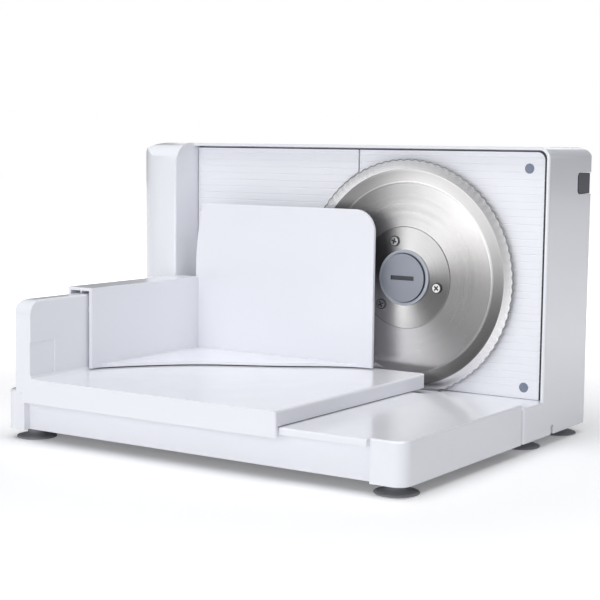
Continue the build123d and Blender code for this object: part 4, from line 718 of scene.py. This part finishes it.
# %% [markdown]
# ## Screws with a cross
# A cross-head screw is a turned head with two crossing slots cut out of it. The cutter's near-black material
# is painted shade, and the cut faces take it over, so the cross reads from a distance. The head's flank is
# painted dark too, as painted shade for the narrow shadow round a countersunk head.

# %% Screws
HEAD_FLAT, HEAD_EDGE, FLANK_SHADE_START = 0.8, 0.97, 0.86
SLOT_LENGTH, SLOT_WIDTH, SLOT_DEPTH = 1.1, 0.28, 1.3
SCREW_TURNS = (0.3, 1.1, 0.7, 0.2, 1.4)


def cutter_box(title, centre, size, angle, axis, material):
    work = bmesh.new()
    bmesh.ops.create_cube(work, size=1.0)
    mesh = bpy.data.meshes.new(title)
    work.to_mesh(mesh)
    work.free()
    mesh.materials.append(material)
    box = add_object(title, mesh)
    spin = Matrix.Rotation(angle, 4, axis)
    box.matrix_world = Matrix.Translation(centre) @ spin @ Matrix.Diagonal((*size, 1.0))
    return box


def carve(piece, cutter):
    """Cuts one object out of another, gives the cut faces the cutter's painted shade and removes the cutter.
    """
    cut = piece.modifiers.new("cut", "BOOLEAN")
    cut.object = cutter
    cut.solver = "EXACT"
    cut.material_mode = "TRANSFER"
    work_on(piece)
    bpy.ops.object.modifier_apply(modifier=cut.name)
    bpy.data.objects.remove(cutter)


def cross_screw(title, low, high, shank, head_rise, axis, facing, turn):
    """One screw in a solid's box. Facing is the way that its head looks along the axis."""
    along = "XYZ".index(axis)
    across = 2 if axis == "Y" else 1
    centre = (low + high) / 2
    head = (high if facing > 0 else low)[along] / MM
    tip = (low if facing > 0 else high)[along] / MM
    centre[along] = 0.0
    radius = (high - low)[0] / 2 / MM
    rise = head_rise * facing
    profile = [
        (0.0, head), (radius * HEAD_FLAT, head), (radius * HEAD_EDGE, head - rise * 0.3),
        (radius, head - rise), (shank, head - rise), (shank, tip), (0.0, tip),
    ]
    mesh = turned_mesh(title, profile, centre, axis, 40)
    mesh.materials.append(screw_steel)
    mesh.materials.append(painted_recess_shade)
    for face in mesh.polygons:
        off_axis = face.center - centre
        off_axis[along] = 0.0
        # faces beyond the flank start take the painted shade of a countersink
        face.material_index = int(off_axis.length > radius * FLANK_SHADE_START * MM)
    screw = add_object(title, mesh)
    place = centre.copy()
    place[along] = head * MM
    size = [radius * SLOT_LENGTH * MM] * 3
    size[along] = head_rise * SLOT_DEPTH * MM
    size[across] = radius * SLOT_WIDTH * MM
    for angle in (turn, turn + math.pi / 2):
        carve(screw, cutter_box(title, place, size, angle, axis, painted_recess_shade))
    return screw


def cross_screws(node, shank, head_rise, axis="Y", facing=-1):
    """Cross-head screws at a node's solids, joined into one piece."""
    title = node + "_crossed"
    screws = [
        cross_screw(title, low, high, shank, head_rise, axis, facing, SCREW_TURNS[index % len(SCREW_TURNS)])
        for index, (low, high) in enumerate(islands(node))
    ]
    work_on(screws[0])
    for screw in screws:
        screw.select_set(True)
    if len(screws) > 1:
        bpy.ops.object.join()
    screws[0].name = title
    smooth(screws[0])
    take_place(screws[0], node)


cross_screws("blade_screws", 2.0, 1.6)
cross_screws("cover_screws", 1.5, 1.05, facing=1)
cross_screws("plate_screws", 1.5, 2.0, facing=1)
cross_screws("gearbox_screws", 1.5, 2.0, facing=1)
cross_screws("bottom_screws", 1.5, 2.0, axis="Z")
cross_screws("tray_screws", 1.5, 2.0, axis="Z")

# %% [markdown]
# ## Hub lock
# The lock is a turned disc with one straight slot for a coin. Its flank is painted near black as painted
# shade, which draws the fine ring between the disc and the rim round it, and the slot's cut faces are painted
# shade too.

# %% Hub lock
lock_front = 66.5
lock_profile = [
    (0.0, lock_front), (18.9, lock_front), (19.4, 66.7), (19.6, 67.2), (19.6, 70.0), (6.95, 70.0),
    (6.95, 74.5), (0.0, 74.5),
]
lock_mesh = turned_mesh("hub_lock_disc", lock_profile, blade_centre, "Y", 96)
lock_mesh.materials.append(lock_plastic)
lock_mesh.materials.append(seam_painted_shade)
for face in lock_mesh.polygons:
    # the lock's flank takes the painted seam shade
    face.material_index = int(from_blade_axis(face) > 19.4 and face.center.y > 66.8 * MM)
lock = show("hub_lock_disc", lock_mesh, None, "hub_lock")
slot_place = Vector((blade_centre.x, lock_front * MM, blade_centre.z))
slot_size = (0.021, 0.003, 0.0035)
# the slot's cut faces take the painted shade
carve(lock, cutter_box("lock_slot", slot_place, slot_size, 0.0, "Y", slot_painted_shade))
print("lock faces:", len(lock_mesh.polygons))

# %% [markdown]
# ## Hub rim
# The blade's carrier keeps its solid behind the blade, where its teeth are. Only the part in front
# is cut off and turned anew, with a small round lip.

# %% Hub rim
rim_back = 0.0713
rim_profile = [
    (22.4, 71.4), (22.4, 68.95), (22.25, 68.65), (21.9, 68.5), (20.4, 68.5), (20.05, 68.6), (19.9, 68.9),
    (19.9, 70.3), (7.0, 70.3), (7.0, 71.4),
]
carrier_mesh = nodes["blade_carrier"].data.copy()
work = bmesh.new()
work.from_mesh(carrier_mesh)
ahead = [vertex for vertex in work.verts if vertex.co.y < rim_back]
bmesh.ops.delete(work, geom=ahead, context="VERTS")
work.from_mesh(turned_mesh("hub_rim", rim_profile, blade_centre, "Y", 96))
work.to_mesh(carrier_mesh)
work.free()
carrier_mesh.materials.clear()
show("carrier_with_rim", carrier_mesh, hub_plastic, "blade_carrier")
print("carrier faces:", len(carrier_mesh.polygons))

# %% [markdown]
# ## Caps, gland and knob
# These are smooth rounds too. The caps over the panel screws have a small round edge, and the
# knob on the left side has sixteen shallow grips.

# %% Caps, gland and knob
turned_set(
    "panel_caps", "panel_plugs",
    [(0.0, 76.95), (2.6, 76.9), (3.3, 76.8), (3.7, 76.85), (3.9, 77.05), (3.9, 77.8), (0.0, 77.8)],
    plug_plastic, "Y", 48,
)
turned_set(
    "cord_bush", "cord_gland",
    [
        (3.3, 28.8), (6.5, 28.8), (6.9, 29.0), (7.0, 29.4), (7.0, 30.0), (5.0, 30.0), (5.0, 32.0),
        (7.0, 32.0), (7.0, 32.7), (6.6, 33.2), (3.3, 33.2),
    ],
    foot_rubber, "Z", 48,
)
grip_count = 16
grip_start = 19.0
grip_depth = 0.9


def grips(radius, angle):
    if radius < grip_start:
        return radius
    return radius - grip_depth * (0.5 - 0.5 * math.cos(angle * grip_count)) ** 0.6


knob_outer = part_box("thickness_knob")[0][0] / MM
turned_set(
    "knob_body", "thickness_knob",
    [
        (0.0, knob_outer + 0.4), (14.0, knob_outer + 0.35), (17.2, knob_outer), (18.6, knob_outer + 0.3),
        (19.5, knob_outer + 1.1), (19.9, knob_outer + 2.2), (19.97, knob_outer + 12.9),
        (19.6, knob_outer + 13.7), (16.5, knob_outer + 13.7), (16.5, knob_outer + 6.85),
        (7.5, knob_outer + 6.85), (7.5, knob_outer + 13.7), (4.0, knob_outer + 13.7),
        (4.0, knob_outer + 2.4), (0.0, knob_outer + 2.4),
    ],
    knob_plastic, "X", 192, grips,
)
print("knob starts at", round(knob_outer, 1), "mm with", grip_count, "grips")

# %% [markdown]
# ## Studio
# The photograph has a white background and a soft shadow under the machine. The floor is a large
# pale plane that keeps the shadow. Where the camera or a reflection sees it, it glows a little,
# and more so further out, so it runs into the white background without a line. The glow lights
# nothing else.

# %% Floor
floor_half = 6.0
floor_corners = [(x * floor_half, y * floor_half, 0.0) for x, y in ((-1, -1), (1, -1), (1, 1), (-1, 1))]
floor_mesh = bpy.data.meshes.new("studio_floor")
floor_mesh.from_pydata(floor_corners, [], [(0, 1, 2, 3)])
floor = add_object("studio_floor", floor_mesh)
floor_material, tree, shader = new_material("white studio floor")
shader["Roughness"].default_value = 0.7
shader["Specular IOR Level"].default_value = 0.2
mottle = put(tree, "ShaderNodeTexNoise", {"Scale": 3.0, "Detail": 2.0}).outputs["Fac"]
fill(tree, shader["Base Color"], mixed(tree, mottle, (0.93, 0.93, 0.94, 1.0), (0.95, 0.95, 0.955, 1.0)))
ray = put(tree, "ShaderNodeLightPath").outputs
seen = number(tree, "MAXIMUM", ray["Is Camera Ray"], ray["Is Glossy Ray"])
away = vector(tree, "LENGTH", put(tree, "ShaderNodeTexCoord").outputs["Object"])
fade = put(
    tree, "ShaderNodeMapRange",
    {"Value": away, "From Min": 0.25, "From Max": 0.9, "To Min": 0.15, "To Max": 0.9},
    interpolation_type="SMOOTHSTEP",
)
shader["Emission Color"].default_value = (1.0, 1.0, 1.0, 1.0)
fill(tree, shader["Emission Strength"], number(tree, "MULTIPLY", seen, fade.outputs["Result"]))
floor_mesh.materials.append(floor_material)
print("floor half width:", floor_half, "m")

# %% [markdown]
# The world is white where the camera looks at it, but it lights the machine much less, so a white
# wall doesn't burn out. Its light comes mostly from the front, a little more from below than from
# above, and almost none comes from behind.

# %% World
world = bpy.data.worlds.new("studio_world")
bpy.context.scene.world = world
world.use_nodes = True
tree = world.node_tree
tree.nodes.clear()
towards = put(tree, "ShaderNodeTexCoord").outputs["Generated"]
level = number(tree, "ADD", vector(tree, "DOT_PRODUCT", towards, (0.0, -0.28, -0.10)), 0.30)
lighting = put(tree, "ShaderNodeBackground", {"Color": (0.94, 0.963, 1.0, 1.0), "Strength": level})
shown = put(tree, "ShaderNodeBackground", {"Color": (1.0, 1.0, 1.0, 1.0), "Strength": 1.0})
to_camera = put(tree, "ShaderNodeLightPath").outputs["Is Camera Ray"]
blend = put(
    tree, "ShaderNodeMixShader",
    {"Fac": to_camera, 1: lighting.outputs["Background"], 2: shown.outputs["Background"]},
)
put(tree, "ShaderNodeOutputWorld", {"Surface": blend.outputs["Shader"]})
print("world nodes:", len(tree.nodes))

# %% [markdown]
# Three softboxes do the rest. The one above lights the tops, the wide one in front gives the walls
# and the blade their soft sheen, and the one behind keeps the back from going grey.

# %% Lamps
def softbox(title, place, target, size, power):
    data = bpy.data.lights.new(title, "AREA")
    data.shape = "RECTANGLE"
    data.size, data.size_y = size
    data.energy = power
    lamp = add_object(title, data)
    lamp.location = place
    aim = Vector(target) - Vector(place)
    lamp.rotation_euler = aim.to_track_quat("-Z", "Y").to_euler()


softbox("top_softbox", (0.1, -0.2, 1.6), (0.0, 0.0, 0.1), (1.6, 1.2), 18.0)
softbox("back_softbox", (-0.7, 1.7, 0.9), (0.0, 0.1, 0.1), (1.4, 0.9), 5.0)
softbox("wide_front_softbox", (0.3, -1.6, 0.35), (0.0, 0.0, 0.1), (1.6, 0.7), 8.0)
print("lamps:", len(bpy.data.lights))
